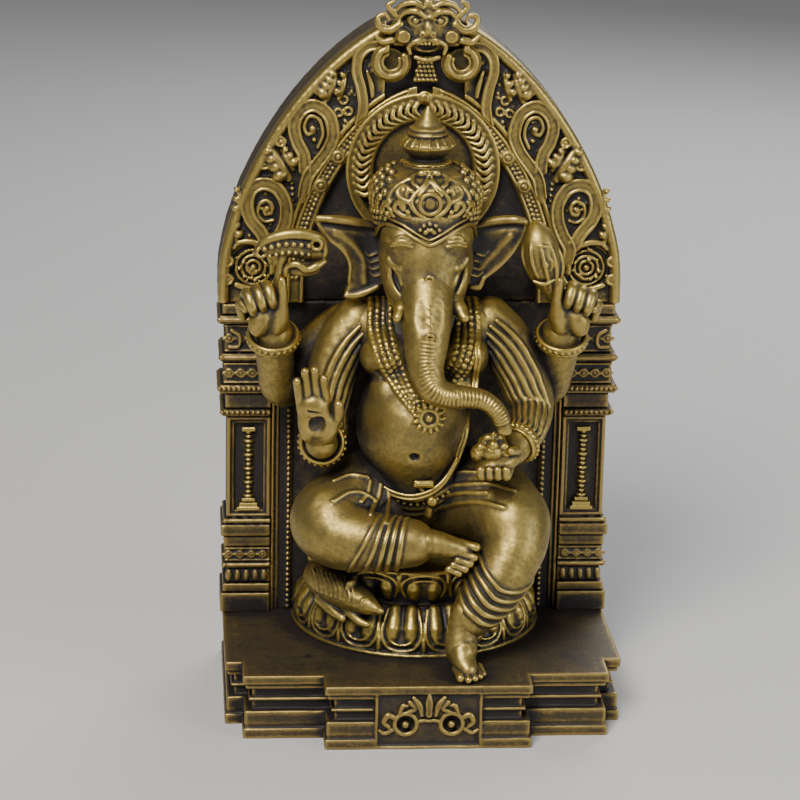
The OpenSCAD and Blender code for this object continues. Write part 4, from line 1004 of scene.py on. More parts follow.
def lotus():
    low, high = cad("lower_lotus")
    clay = Clay(low - [0.6, 0.8, 0], [high[0] + 0.6, NICHE + 1, high[2] + 0.3], 0.3)
    h = high[2] - low[2]
    z = low[2]
    profile = [(LOTUS_R - 0.1, z), (LOTUS_R - 0.1, z + 0.8), (LOTUS_R - 1.1, z + 1.3),
               (LOTUS_R - 0.9, z + h * 0.3), (LOTUS_R - 2.2, z + h * 0.62),
               (LOTUS_R - 4.8, z + h * 0.88), (LOTUS_R - 6.6, z + h)]
    clay.lathe([0, LOTUS_Y, 0], profile)
    petals(clay, profile, 17, z + 1.6, z + h * 0.94, 0.5, 0.5, up=False)
    clay.ring([0, LOTUS_Y, z + 0.6], (0, 0, 1), LOTUS_R - 0.5, 0.7)
    clay.weather(0.09, 5, 41).limit(2, low=low[2]).limit(1, high=NICHE + 0.4)
    cast(clay, "lower_petals", "bright_gold", "lower_lotus")

    low, high = cad("lotus_waist")
    clay = Clay(low - [0.5, 0.6, 0.5], [high[0] + 0.5, NICHE + 1, high[2] + 0.6], 0.35)
    r = LOTUS_Y - low[1]
    clay.lathe([0, LOTUS_Y, 0], [(r + 0.1, low[2] - 0.4), (r - 0.9, low[2] + 0.5),
                                 (r - 0.9, high[2] - 0.5), (r + 0.1, high[2] + 0.4)])
    clay.limit(1, high=NICHE + 0.4)
    cast(clay, "seat_waist", "dull_gold", "lotus_waist")

    low, high = cad("upper_lotus")
    clay = Clay(low - [0.6, 0.8, 0.3], [high[0] + 0.6, NICHE + 1, high[2] + 0.4], 0.3)
    r = LOTUS_Y - low[1]
    h = high[2] - low[2]
    z = low[2]
    profile = [(r - 2.6, z), (r - 1.6, z + h * 0.2), (r - 0.7, z + h * 0.5), (r - 0.4, z + h * 0.8),
               (r - 0.6, z + h)]
    clay.lathe([0, LOTUS_Y, 0], profile)
    petals(clay, profile, 14, z + 0.3, z + h * 0.86, 0.5, 0.0, up=True)
    clay.ring([0, LOTUS_Y, z + h - 0.6], (0, 0, 1), r - 0.6, 0.55)
    clay.weather(0.08, 5, 42).limit(2, high=high[2]).limit(1, high=NICHE + 0.4)
    cast(clay, "upper_petals", "bright_gold", "upper_lotus")


# ------------------------------------------------------------------ figure

FIG_Y = NICHE - 22.7   # where figure points count their depth from


def fig(points):
    """Moves figure points [x, y, z above the seat, ...] to their place."""
    p = np.array(points, float)
    p[..., 1] += FIG_Y
    p[..., 2] += SEAT
    return p


def near(points, pad=2.0):
    """A box round stroke points, for a block of clay."""
    p = np.atleast_2d(np.array(points, float))
    r = p[:, 3:4] if p.shape[1] > 3 else 0
    return (p[:, :3] - r).min(0) - pad, (p[:, :3] + r).max(0) + pad


def front(clay, x, z):
    """How far back the first surface is at x and z, seen from the front."""
    i = int(round((x - clay.low[0]) / clay.grain))
    k = int(round((z - clay.low[2]) / clay.grain))
    column = clay.d[np.clip(i, 0, clay.count[0] - 1), :, np.clip(k, 0, clay.count[2] - 1)]
    hit = np.nonzero(column < 0)[0]
    j = hit[0] if len(hit) else int(clay.count[1] * 0.6)
    return clay.axes[1][j]


def drape(body, points, sink=0.1, smooth=3):
    """Lays points [x, z, ...] on the front of a body, as rows [x, y, z, ...]."""
    p = spaced(flow(points, 6), 0.8)
    y = np.array([front(body, a, b) for a, b in p[:, :2]])
    for _ in range(smooth):
        y[1:-1] = (y[:-2] + y[1:-1] * 2 + y[2:]) / 4
    return np.column_stack([p[:, 0], y + sink, p[:, 1], *p[:, 2:].T])


def crease(clay, points, r, blend=0.4, sink=0.1, cut=False, smooth=3):
    """A line on the front of a piece, through [x, z above the seat]."""
    rows = drape(clay, [(x, z + SEAT) for x, z in points], sink, smooth)
    clay.wire(rows, r, blend, cut)
    return rows


def walk(points, t):
    """Centre with radius, and direction, at a share t of a smooth path."""
    p = flow(points, 10)
    run = np.r_[0, np.cumsum(np.linalg.norm(np.diff(p[:, :3], axis=0), axis=1))]
    s = t * run[-1]
    c = np.array([np.interp(s, run, p[:, i]) for i in range(4)])
    e = 0.02 * run[-1]
    a, b = [np.array([np.interp(v, run, p[:, i]) for i in range(3)]) for v in (s - e, s + e)]
    return c, unit(b - a)


def swathe(clay, points, track, r, grow=0.1, blend=0.3):
    """A raised fold over a limb, through [share along it, degrees round it]. Angle 0 faces
    the front."""
    rows = []
    for s, (t, turn) in zip(np.linspace(0, 1, len(track)), track):
        c, d = walk(points, t)
        a = math.radians(turn)
        f = unit(np.array([0, -1, 0]) - d * -d[1])
        g = np.cross(d, f)
        q = c[:3] + (f * math.cos(a) + g * math.sin(a)) * (c[3] + grow)
        rows.append([*q, r * (0.45 + 0.75 * math.sin(math.pi * (0.08 + 0.84 * s)))])
    clay.tube(rows, blend, per=3)


def fold(clay, points, t0, t1, a0, a1, r, grow=0.1, n=7, blend=0.3):
    """A fold that runs evenly from share t0 to t1 and round from a0 to a1 degrees."""
    swathe(clay, points, list(zip(np.linspace(t0, t1, n), np.linspace(a0, a1, n))), r, grow, blend)


def torso():
    low = cad("torso")[0]
    clay = Clay([-24, low[1] - 2, SEAT - 0.2], [24, NICHE + 1, SEAT + 77], 0.3)

    def egg(c, radii, blend):
        clay.egg(fig(c), radii, blend)
    egg((-0.5, 9, 57), (17, 9.5, 13), 3)
    egg((-2.9, 3.2, 36), (14.6, 17.2, 17), 3.5)
    egg((-1.0, 6.5, 20), (15.4, 14, 13), 4)
    egg((0, 9, 66), (9, 7, 7), 4)
    for x in (-11.2, 10.6):
        egg((x, 1.0, 55.6), (6.2, 6.6, 6.0), 2.2)
        egg((x * 1.35, 8, 62.5), (6.2, 6.5, 6.0), 3)
    egg((-10, -1.6, 47), (4.6, 5.0, 4.4), 2)
    egg((9.6, -1, 47), (4.4, 4.6, 4.4), 2)
    # creases under the breasts, nipples, navel
    for s in (-1, 1):
        x = s * 9.6 - 0.3
        crease(clay, [(x - 3, 52.4), (x, 50.6), (x + 3, 52.4)], 0.5, 0.6, -0.3, cut=True)
        y = front(clay, x, SEAT + 55)
        clay.ball([x, y + 0.2, SEAT + 55], 0.8, 0.5)
    y = front(clay, -3.4, SEAT + 32)
    clay.egg([-3.4, y, SEAT + 32], (1.1, 1.4, 0.9), 0.9, cut=True)
    # waistband of pleated cloth under the belly
    for drop, r in ((0, 1.0), (-2.4, 0.9), (-4.4, 0.8)):
        hem = [(-15.6, 26.5), (-12, 21.5), (-3.5, 18.2), (5, 20.6), (11.6, 26)]
        crease(clay, [(x, z + drop) for x, z in hem], r, 0.5, 0.2)
    line = drape(clay, [(-15.5, SEAT + 24.5), (-11, SEAT + 20), (-3.5, SEAT + 17), (4.6, SEAT + 19),
                        (10.6, SEAT + 24.5)], -0.4)
    clay.beads(line, 0.65, 1.7, smooth=False)
    clay.weather(0.1, 6, 51).limit(1, high=NICHE + 0.8).limit(2, low=SEAT)
    cast(clay, "torso_and_belly", "gold", "torso")
    return clay


def dress(body):
    """Cords, beads and the pendant that lie on the torso."""
    def piece(name, node, draw, pad=2.5):
        low, high = cad(node)
        clay = Clay(low - pad, high + pad, 0.2)
        draw(clay)
        cast(clay, name, "bright_gold", node)

    def cord(clay, points, r, sink, strands):
        """A cord over the torso, with two raised strands along it."""
        line = drape(body, points, sink)
        clay.wire(line, r, 0.2)
        for shift, width in strands:
            clay.wire(line + shift, width, 0.1)
    z = SEAT

    def belt(clay):
        path = [(-17.4, z + 28.6), (-15.2, z + 25.2), (-11, z + 21.4), (-5, z + 19.6),
                (0.6, z + 20.6), (5.2, z + 24), (8.2, z + 29.2)]
        cord(clay, path, 1.05, -0.9, [([0, -0.85, s], 0.42) for s in (-0.55, 0.55)])
    piece("belly_cord", "belly_band", belt)

    def clasp(clay):
        y = front(body, -0.6, z + 23)
        clay.slab([-3.2, y - 1.9, z + 22.4], [2.2, y + 0.6, z + 24.6], 0.6)
        clay.slab([-2.4, y - 2.2, z + 22.9], [1.4, y - 1, z + 24.1], 0.4)
        y = front(body, 2, z + 18)
        clay.egg([1.8, y - 1.2, z + 18.4], (1.5, 1.5, 1.7), 0.4)
        clay.ring([1.8, y - 2.2, z + 18.4], INWARD, 0.9, 0.35)
        clay.tube([[1.4, y - 0.8, z + 17, 0.9], [1.0, y - 0.6, z + 14.4, 1.1]], 0.3, smooth=False)
        clay.tube([[-1.6, y - 0.6, z + 22.4, 0.7], [0.6, y - 0.9, z + 19.6, 0.8]], 0.3,
                  smooth=False)
    piece("belt_clasp", "buckle", clasp, 4)

    def thread(clay):
        path = [(13.2, z + 60), (13, z + 52), (12.2, z + 44), (10.6, z + 36), (8.4, z + 29.6)]
        cord(clay, path, 0.9, -0.6, [([s, -0.7, 0], 0.4) for s in (-0.5, 0.5)])
    piece("shoulder_cord", "sacred_thread", thread)

    def beads(clay):
        strings = ((-1.3, 0.8, 1.75, 46.4), (0.5, 0.62, 1.4, 44.6), (2.1, 0.85, 1.85, 42.4),
                   (3.9, 0.6, 1.4, 41))
        for side in SIDES:
            for n, (spread, r, gap, low_z) in enumerate(strings):
                x0 = side * (9.6 + spread) - 0.4
                path = [(x0 + side * 0.2, z + 68.4), (x0 + side * 0.6, z + 63),
                        (side * (8.8 + spread * 0.95) - 0.3, z + 56.5),
                        (side * (6.2 + spread * 0.85) - 0.2, z + 50.5),
                        (side * (3.2 + spread * 0.7), z + 46), (side * 1.1, z + low_z)]
                line = drape(body, path, -0.35)
                if n % 2:
                    clay.wire(line + [0, 0.3, 0], 0.32, 0.1)
                clay.beads(line, r, gap, 0.15, smooth=False)
                clay.wire(line + [0, 1.0, 0], 1.25, 0.3)
    piece("bead_strings", "necklace", beads, 3.5)

    def rosette(clay):
        c = centred("pendant")[2]
        y = front(body, c[0], c[2]) - 0.6
        clay.disc([c[0], y, c[2]], INWARD, 3.4, 1.0, 0.3)
        clay.ring([c[0], y - 0.8, c[2]], INWARD, 2.2, 0.5)
        clay.ball([c[0], y - 0.7, c[2]], 1.2)
        for a in np.radians(np.arange(0, 360, 27.7)):
            clay.egg([c[0] + 3.5 * math.cos(a), y - 0.6, c[2] + 3.5 * math.sin(a)],
                     (1.1, 0.8, 0.62), 0.12, (0, -math.degrees(a), 0))
    piece("rosette_pendant", "pendant", rosette, 2)


def head():
    low, high = cad("head")
    clay = Clay(low - [2, 3, 2], [high[0] + 2, high[1] + 1, high[2] + 2], 0.25)

    def egg(c, radii, blend=2.5, turn=(0, 0, 0), cut=False):
        clay.egg(fig(c), radii, blend, turn, cut)

    def line(points, width, blend=0.3, sink=0.1, cut=False):
        crease(clay, points, width, blend, sink, cut, smooth=2)
    egg((-0.6, 2.4, 86), (12.2, 12.6, 11.5))
    egg((-0.6, -3.4, 84), (10.6, 8.8, 9.4), 3)
    for s in (-1, 1):
        egg((s * 6.3 - 0.6, -4.0, 89.0), (5.7, 7.4, 4.8), 1.3)
        egg((s * 8.6 - 0.6, -1.4, 80), (3.3, 6.4, 6.2), 2.5)
        egg((s * 6.6 - 0.6, -3, 74.8), (3.5, 5.6, 5.2), 2.2, (0, -s * 14, 0))
        egg((s * 6.0 - 0.6, -7.0, 71.4), (2.6, 3.6, 3.4), 1.6)
    egg((-0.6, -5.2, 78), (8.6, 7.6, 8.4), 3)
    egg((-0.6, -8.2, 73), (6.8, 6.2, 8), 3)
    egg((-0.6, -3, 68.5), (5.6, 5.4, 4.4), 2)
    for s in (-1, 1):
        def at_side(points):
            return [(s * x - 0.6, z) for x, z in points]
        # a narrow eye that slants down towards the trunk, between two lids
        line(at_side([(8.9, 80.2), (8.1, 77.8), (6.8, 75.4)]), 1.15, 0.8, 0.3, cut=True)
        line(at_side([(8.7, 79.0), (8.0, 77.4), (7.3, 76.2)]), 0.8, 0.2, 1.0)
        line(at_side([(8.6, 81.4), (7.3, 79.2), (6.5, 76.6), (6.3, 74.8)]), 0.5, 0.4)
        line(at_side([(9.5, 81.0), (9.4, 78.4), (8.4, 76.0), (6.9, 74.4)]), 0.55, 0.35, 0.2)
        line(at_side([(10.2, 79.6), (9.7, 76.8), (8.4, 74.6)]), 0.32, 0.4, 0.2)
        line(at_side([(10.4, 77.4), (9.4, 74.8), (8.0, 73.4)]), 0.3, 0.4, 0.2)
        line(at_side([(10.2, 83.6), (9.2, 82.2), (7.2, 81.8)]), 0.4, 0.9)
        # creases over the brow, close under the crown
        for i, half in enumerate((2.6, 2.2, 1.4)):
            z = 88.0 + 1.05 * i
            line(at_side([(7.2 - half, z - 0.3), (7.2, z + 0.3), (7.2 + half, z - 0.6)]), 0.4, 0.1,
                 -0.1)
        egg((s * 2.9 - 0.6, -15.2, 73.0), (1.5, 1.6, 5.0), 1.2, cut=True)
    # the mark on the brow
    y = front(clay, -0.6, SEAT + 79.4)
    clay.ring([-0.6, y - 0.2, SEAT + 79.6], (0, 1, 0.3), 0.95, 0.42, 0.15)
    clay.weather(0.09, 6, 61)
    cast(clay, "elephant_head", "gold", "head")


def trunk():
    path = fig([[-0.6, -6, 78, 7.2], [-0.8, -11.4, 71, 6.7], [-1.2, -15.8, 64, 5.7],
                [-1.4, -18.8, 57.5, 4.6], [0.4, -20.8, 52.8, 3.95], [4.5, -21.7, 51, 3.3],
                [9, -22.2, 50.9, 2.85], [13.5, -22.2, 50, 2.5], [17, -21.8, 46.9, 2.2],
                [18.8, -21.2, 42.9, 1.9]])
    clay = Clay(*near(path, 2), 0.24)
    clay.tube(path, 0.4, per=8)
    # a slight hollow each side of a middle ridge, above the first crease, which the paint darkens
    # as painted shade under the brow
    for x in (-2.6, 2.6):
        clay.tube(fig([[x - 0.7, -17.9, 74.6, 0.9], [x - 0.8, -19.9, 71, 1.5],
                       [0.75 * x - 0.9, -21.7, 67.8, 0.9]]), 1.2, cut=True)
    # creases over the front, wrapping further round towards the tip
    for t in np.linspace(0.335, 0.97, 38):
        c, d = walk(path, t)
        f = unit(np.array([0, -1, 0.05]) - d * (d @ np.array([0, -1, 0.05])))
        share = min(1.0, 0.5 + 0.75 * max(0, t - 0.4))
        q = c[:3] + f * c[3] * (1 - share)
        clay.ring(q, d, c[3] * share + 0.06, 0.4, 0.15)
    y = front(clay, -0.9, SEAT + 66.4)
    clay.ring([-0.9, y - 0.1, SEAT + 66.4], (0, 1, 0.4), 1.0, 0.42, 0.15)
    for z in (69.4, 71.4, 73.2):
        y = front(clay, -0.8, SEAT + z)
        clay.ball([-0.8, y + 0.1, SEAT + z], 0.4)
    # the tip: two nostrils and a small finger
    e = path[-1]
    clay.egg([e[0] + 0.2, e[1], e[2] - 1.2], (1.9, 1.9, 1.5), 0.5)
    clay.ball([e[0] - 0.6, e[1] - 0.9, e[2] - 2.6], 0.6, 0.2, cut=True)
    clay.ball([e[0] + 0.9, e[1] - 0.9, e[2] - 2.6], 0.6, 0.2, cut=True)
    clay.weather(0.06, 4, 62)
    cast(clay, "ridged_trunk", "gold", "trunk")


EARS = {  # outline, raised top fold, outer edge, lobe and the fold inside, as [x, z]
    -1: ([(8.5, 87.6), (13, 89.2), (19, 90.8), (25, 92.0), (29.2, 92.4), (27.9, 89.4), (25.6, 86.6),
          (22, 83.6), (20, 80), (19.9, 76), (21.3, 71), (17.6, 71.2), (12.4, 73.2), (9, 77)],
         [(9.5, 88.2), (14, 89.6), (19.4, 91.0), (24.6, 92.0), (28.4, 92.2)],
         [(29.0, 92.0), (27.7, 89.2), (25.4, 86.4), (21.9, 83.4), (20, 79.6), (20.2, 75)],
         [(21.0, 71.2), (17.6, 71.4), (12.8, 73.4)],
         [(24, 88.2), (20, 85.6), (16.6, 81), (16.2, 75)]),
    1: ([(8.5, 88), (13, 89.4), (18, 91.2), (23, 92.2), (25.8, 91.8), (25.6, 89.2), (23.6, 84.6),
         (19.6, 79.4), (15.6, 76.2), (14.4, 73), (12.4, 72.8), (9.6, 76)],
        [(9.5, 88.6), (13.4, 89.8), (18, 91.2), (22.6, 92.0), (25, 91.6)],
        [(25.6, 91.2), (25.2, 88.6), (23.2, 84.4), (19.2, 79.2), (15.4, 76)],
        [(15.0, 75.8), (14.0, 73.6), (12.0, 73.4)],
        [(21.6, 87.4), (18.4, 83.4), (14.4, 79)])}


def ears():
    for side, (outline, top, edge, lobe, inner) in EARS.items():
        name = SIDES[side]
        o = flow([(x, z + SEAT) for x, z in outline], 4)
        clay = Clay([6, FIG_Y - 4, SEAT + 67], [31, NICHE + 0.5, SEAT + 95], 0.25)

        def bow(x, z):
            u, v = (x - 9) / 16, (z - SEAT - 70) / 20
            return 1.0 + 1.5 * u - 2.2 * u * u + 1.2 * np.sin(u * 5.2) * v
        clay.plate(o, FIG_Y + 1.6, FIG_Y + 4.0, 0.7, 0.4, bow=bow)

        def rim(points, r, lift=0.0, blend=0.6, cut=False):
            rows = [[x, FIG_Y + 1.9 + float(bow(np.float64(x), np.float64(z + SEAT))) + lift,
                     z + SEAT, w] for (x, z), w in zip(points, r)]
            clay.tube(rows, blend, cut)
        rim(top, (0.7, 1.0, 1.25, 1.1, 0.7), -0.1, 0.9)
        rim([(x - 0.6, z - 1.9) for x, z in top], (0.3, 0.5, 0.6, 0.6, 0.4), -0.5, 0.6, cut=True)
        rim(edge, [0.5] * len(edge))
        rim(lobe, (0.6, 0.9, 0.6), -0.2)
        rim(inner, [0.7] * len(inner), 0.1, 1.2)
        for i in range(4):
            rim([(11.4 + 0.5 * i, 77 + 1.8 * i), (13.4 + 0.5 * i, 76.4 + 1.8 * i),
                 (14.8 + 0.4 * i, 77.4 + 1.8 * i)], (0.4, 0.4, 0.3), -0.3, 0.3)
        clay.weather(0.08, 5, 63).limit(1, high=NICHE + 0.2)
        cast(clay, f"{name}_fan_ear", "gold", f"{name}_ear", mirror=side < 0, look="worn_gold")

        low, high = cad("right_tusk")
        clay = Clay(low - 1.5, high + 1.5, 0.16)
        clay.tube(fig([[6.2, -8.4, 73.4, 2.1], [7.3, -11, 71.6, 1.9], [8.2, -13, 70.2, 1.55],
                       [8.6, -13.8, 69.7, 1.3]]), 0.3)
        clay.tube(fig([[7.4, -11.2, 71.5, 2.0], [7.6, -11.6, 71.2, 2.0]]), 0.2, smooth=False)
        cast(clay, f"{name}_short_tusk", "bright_gold", f"{name}_tusk", mirror=side < 0)


def crown():
    cx, cy = -0.6, 3.4 + FIG_Y
    low, high = cad("crown")
    clay = Clay([low[0] - 1.5, low[1] - 2, low[2] - 1], [high[0] + 1.5, high[1] + 1, high[2] + 1.4],
                0.25)
    z0, z1 = low[2], high[2]
    h, r = z1 - z0, (high[0] - low[0]) / 2
    profile = [(r * 0.9, z0 - 0.2), (r * 0.97, z0 + h * 0.2), (r * 0.99, z0 + h * 0.42),
               (r * 0.9, z0 + h * 0.66), (r * 0.72, z0 + h * 0.84), (r * 0.44, z0 + h * 0.95),
               (r * 0.4, z0 + h)]
    clay.lathe([cx, cy, 0], profile, 0.2)

    def on(a, z, lift=0.0):
        q = np.interp(z, [p[1] for p in profile], [p[0] for p in profile]) + lift
        return [cx + q * math.sin(a), cy - q * math.cos(a), z]

    def trace(points, width):
        """A line over the dome, through [angle in degrees, share of height]."""
        rows = [on(math.radians(a), z0 + v * h, 0.15) + [width] for a, v in points]
        clay.tube(rows, 0.25, per=4)
    # rows of curls at the sides and back
    for row in range(8):
        v = 0.08 + 0.11 * row
        gap = 9.4 + row * 1.5
        for a in np.arange(48 + (row % 2) * gap / 2 + row * 1.5, 190, gap):
            for s in (-1, 1):
                clay.ball(on(math.radians(s * a), z0 + v * h, 0.0), 1.15, 0.15)
                clay.ball(on(math.radians(s * a), z0 + v * h, 1.1), 0.5, 0.2, cut=True)
    # the carved front: a tall leaf over the jewel, with scrolls each side
    for s in (-1, 1):
        trace([(0, 0.86), (s * 8, 0.72), (s * 17, 0.56), (s * 20, 0.4), (s * 15, 0.22),
               (s * 6, 0.1)], 0.65)
        trace([(0, 0.8), (s * 7, 0.66), (s * 12, 0.54)], 0.4)
        trace([(s * 22, 0.1), (s * 31, 0.13), (s * 38, 0.25), (s * 35, 0.37), (s * 28, 0.36),
               (s * 28, 0.26)], 0.8)
        trace([(s * 22, 0.42), (s * 30, 0.46), (s * 37, 0.56), (s * 33, 0.68), (s * 25, 0.66),
               (s * 26, 0.57)], 0.8)
        trace([(s * 41, 0.08), (s * 46, 0.26), (s * 46, 0.48), (s * 40, 0.68), (s * 28, 0.82)], 0.7)
        trace([(s * 15, 0.7), (s * 22, 0.76), (s * 25, 0.86), (s * 16, 0.92)], 0.65)
        trace([(s * 24, 0.52), (s * 31, 0.56), (s * 33, 0.6)], 0.35)
        trace([(s * 2, 0.02), (s * 12, 0.08), (s * 19, 0.04), (s * 27, -0.02)], 0.5)
        trace([(s * 51, 0.1), (s * 56, 0.22), (s * 52, 0.32)], 0.5)
        for a, v in ((23, 0.2), (30, 0.31), (31, 0.62), (44, 0.36), (43, 0.18), (21, 0.63)):
            clay.ball(on(math.radians(s * a), z0 + v * h, 0.2), 0.75, 0.2)
    # the flower above it
    q = on(0, z0 + 0.88 * h, 0.4)
    for a in np.radians(np.arange(90, 450, 72)):
        u, v = math.cos(a), math.sin(a)
        clay.egg([q[0] + 1.9 * u, q[1] + 0.3 - 0.2 * v, q[2] + 1.8 * v], (1.3, 1.0, 1.1), 0.15)
    clay.ball([q[0], q[1] - 0.5, q[2]], 0.95, 0.2)
    clay.ball([q[0], q[1] - 1.5, q[2]], 0.5, 0.2, cut=True)
    clay.weather(0.06, 4, 71).limit(2, high=z1 + 0.1)
    cast(clay, "carved_crown", "gold", "crown")

    # the brim: two fine lines that arch over each brow and meet in a point between them
    low, high = cad("diadem")
    clay = Clay([low[0] - 1, low[1] - 1.5, low[2] - 4.6], [high[0] + 1, high[1] + 1, high[2] + 1.5],
                0.22)
    turns = np.arange(-180, 181, 5)
    rise = np.interp(abs(turns), (0, 14, 32, 52, 66, 80, 100, 180),
                     (-1.5, 0.1, 2.3, 3.2, 1.8, -1.6, -2.2, -2.2))
    rise[1:-1] = (rise[:-2] + rise[1:-1] * 4 + rise[2:]) / 6

    def band(out, up=0.0):
        """A line round the head, a given way out from it and above the brim."""
        a = np.radians(turns)
        return np.column_stack([cx + (13.3 + out) * np.sin(a), cy - (15.3 + out) * np.cos(a),
                                low[2] + rise + up])
    top = high[2] + 0.4
    for share in np.linspace(0.12, 1, 7):
        wall = band(-2.3)
        wall[:, 2] += (top - wall[:, 2]) * share
        clay.wire(wall, 1.3, 0.5)
    clay.wire(band(-0.1), 0.55, 0.15)
    clay.wire(band(-0.5, 1.3), 0.4, 0.15)
    for ring_r, count, first in ((2.6, 5, 20), (1.15, 4, 20)):
        for a in np.radians(np.linspace(first, 180 - first, count)):
            clay.ball([cx + ring_r * math.cos(a), cy - 15.0 + 0.12 * ring_r * ring_r,
                       low[2] + 1.7 + ring_r * math.sin(a) * 0.9], 0.66, 0.1)
    for row in range(3):
        for a in np.radians(np.arange(50 + 4 * (row % 2), 180, 8.5)):
            for s in (-1, 1):
                z = low[2] + 1.6 + 1.5 * row + 1.2 * math.exp(-((a - 0.9) / 0.4) ** 2)
                clay.ball([cx + s * (13.0 + 0.4 * row) * math.sin(a),
                           cy - (14.6 + 0.2 * row) * math.cos(a), z], 0.85, 0.15)
    clay.weather(0.05, 4, 72)
    cast(clay, "beaded_brim", "gold", "diadem", look="worn_gold")

    low, high, c = centred("jewel")
    clay = Clay(low - 1.6, high + 1.6, 0.18)
    clay.ring([c[0], c[1] + 0.2, c[2] + 0.6], INWARD, 2.6, 0.62, stretch=1.15)
    clay.egg([c[0], c[1] + 1.0, c[2] + 0.6], (2.1, 1.3, 2.3), 0.2)
    cast(clay, "crown_jewel", "bright_gold", "jewel", look="worn_gold")

    low, high, c = centred("crown_finial")
    clay = Clay(low - 1, high + 0.8, 0.2)
    h, z = high[2] - low[2], low[2]
    wide = (high[0] - low[0]) / 2
    shape = [(0.9, 0), (0.86, 0.03), (0.6, 0.07), (0.62, 0.1), (0.82, 0.2), (1.0, 0.3),
             (0.98, 0.36), (0.8, 0.44), (0.66, 0.47), (0.7, 0.51), (0.62, 0.56), (0.66, 0.61),
             (0.5, 0.66), (0.46, 0.7), (0.2, 0.88), (0.05, 0.99)]
    clay.lathe([c[0], c[1], 0], [(wide * a, z + b * h) for a, b in shape], 0.1)
    for a in np.radians(np.arange(0, 360, 20)):
        p = [[c[0] + wide * q * math.sin(a), c[1] - wide * q * math.cos(a), z + v * h, 0.34]
             for q, v in ((0.99, 0.335), (0.88, 0.4), (0.74, 0.45))]
        clay.tube(p, 0.12, smooth=False)
    clay.weather(0.04, 3, 73).limit(2, high=high[2])
    cast(clay, "turned_finial", "gold", "crown_finial")


LEAN = -1.8          # both raised arms stand a little to the viewer's left


def trim(clay, c, axis, start, rim_r, rims, bead_way, bead, step):
    """Rims [lift along the axis, width] on a bracelet, and beads round it from start."""
    axis = unit(axis)
    for lift, width in rims:
        clay.ring(c + axis * lift, axis, rim_r, width, 0.15)
    side = np.cross(axis, start)
    for a in np.radians(np.arange(0, 360, step)):
        clay.ball(c + (start * math.cos(a) + side * math.sin(a)) * bead_way, bead, 0.15)


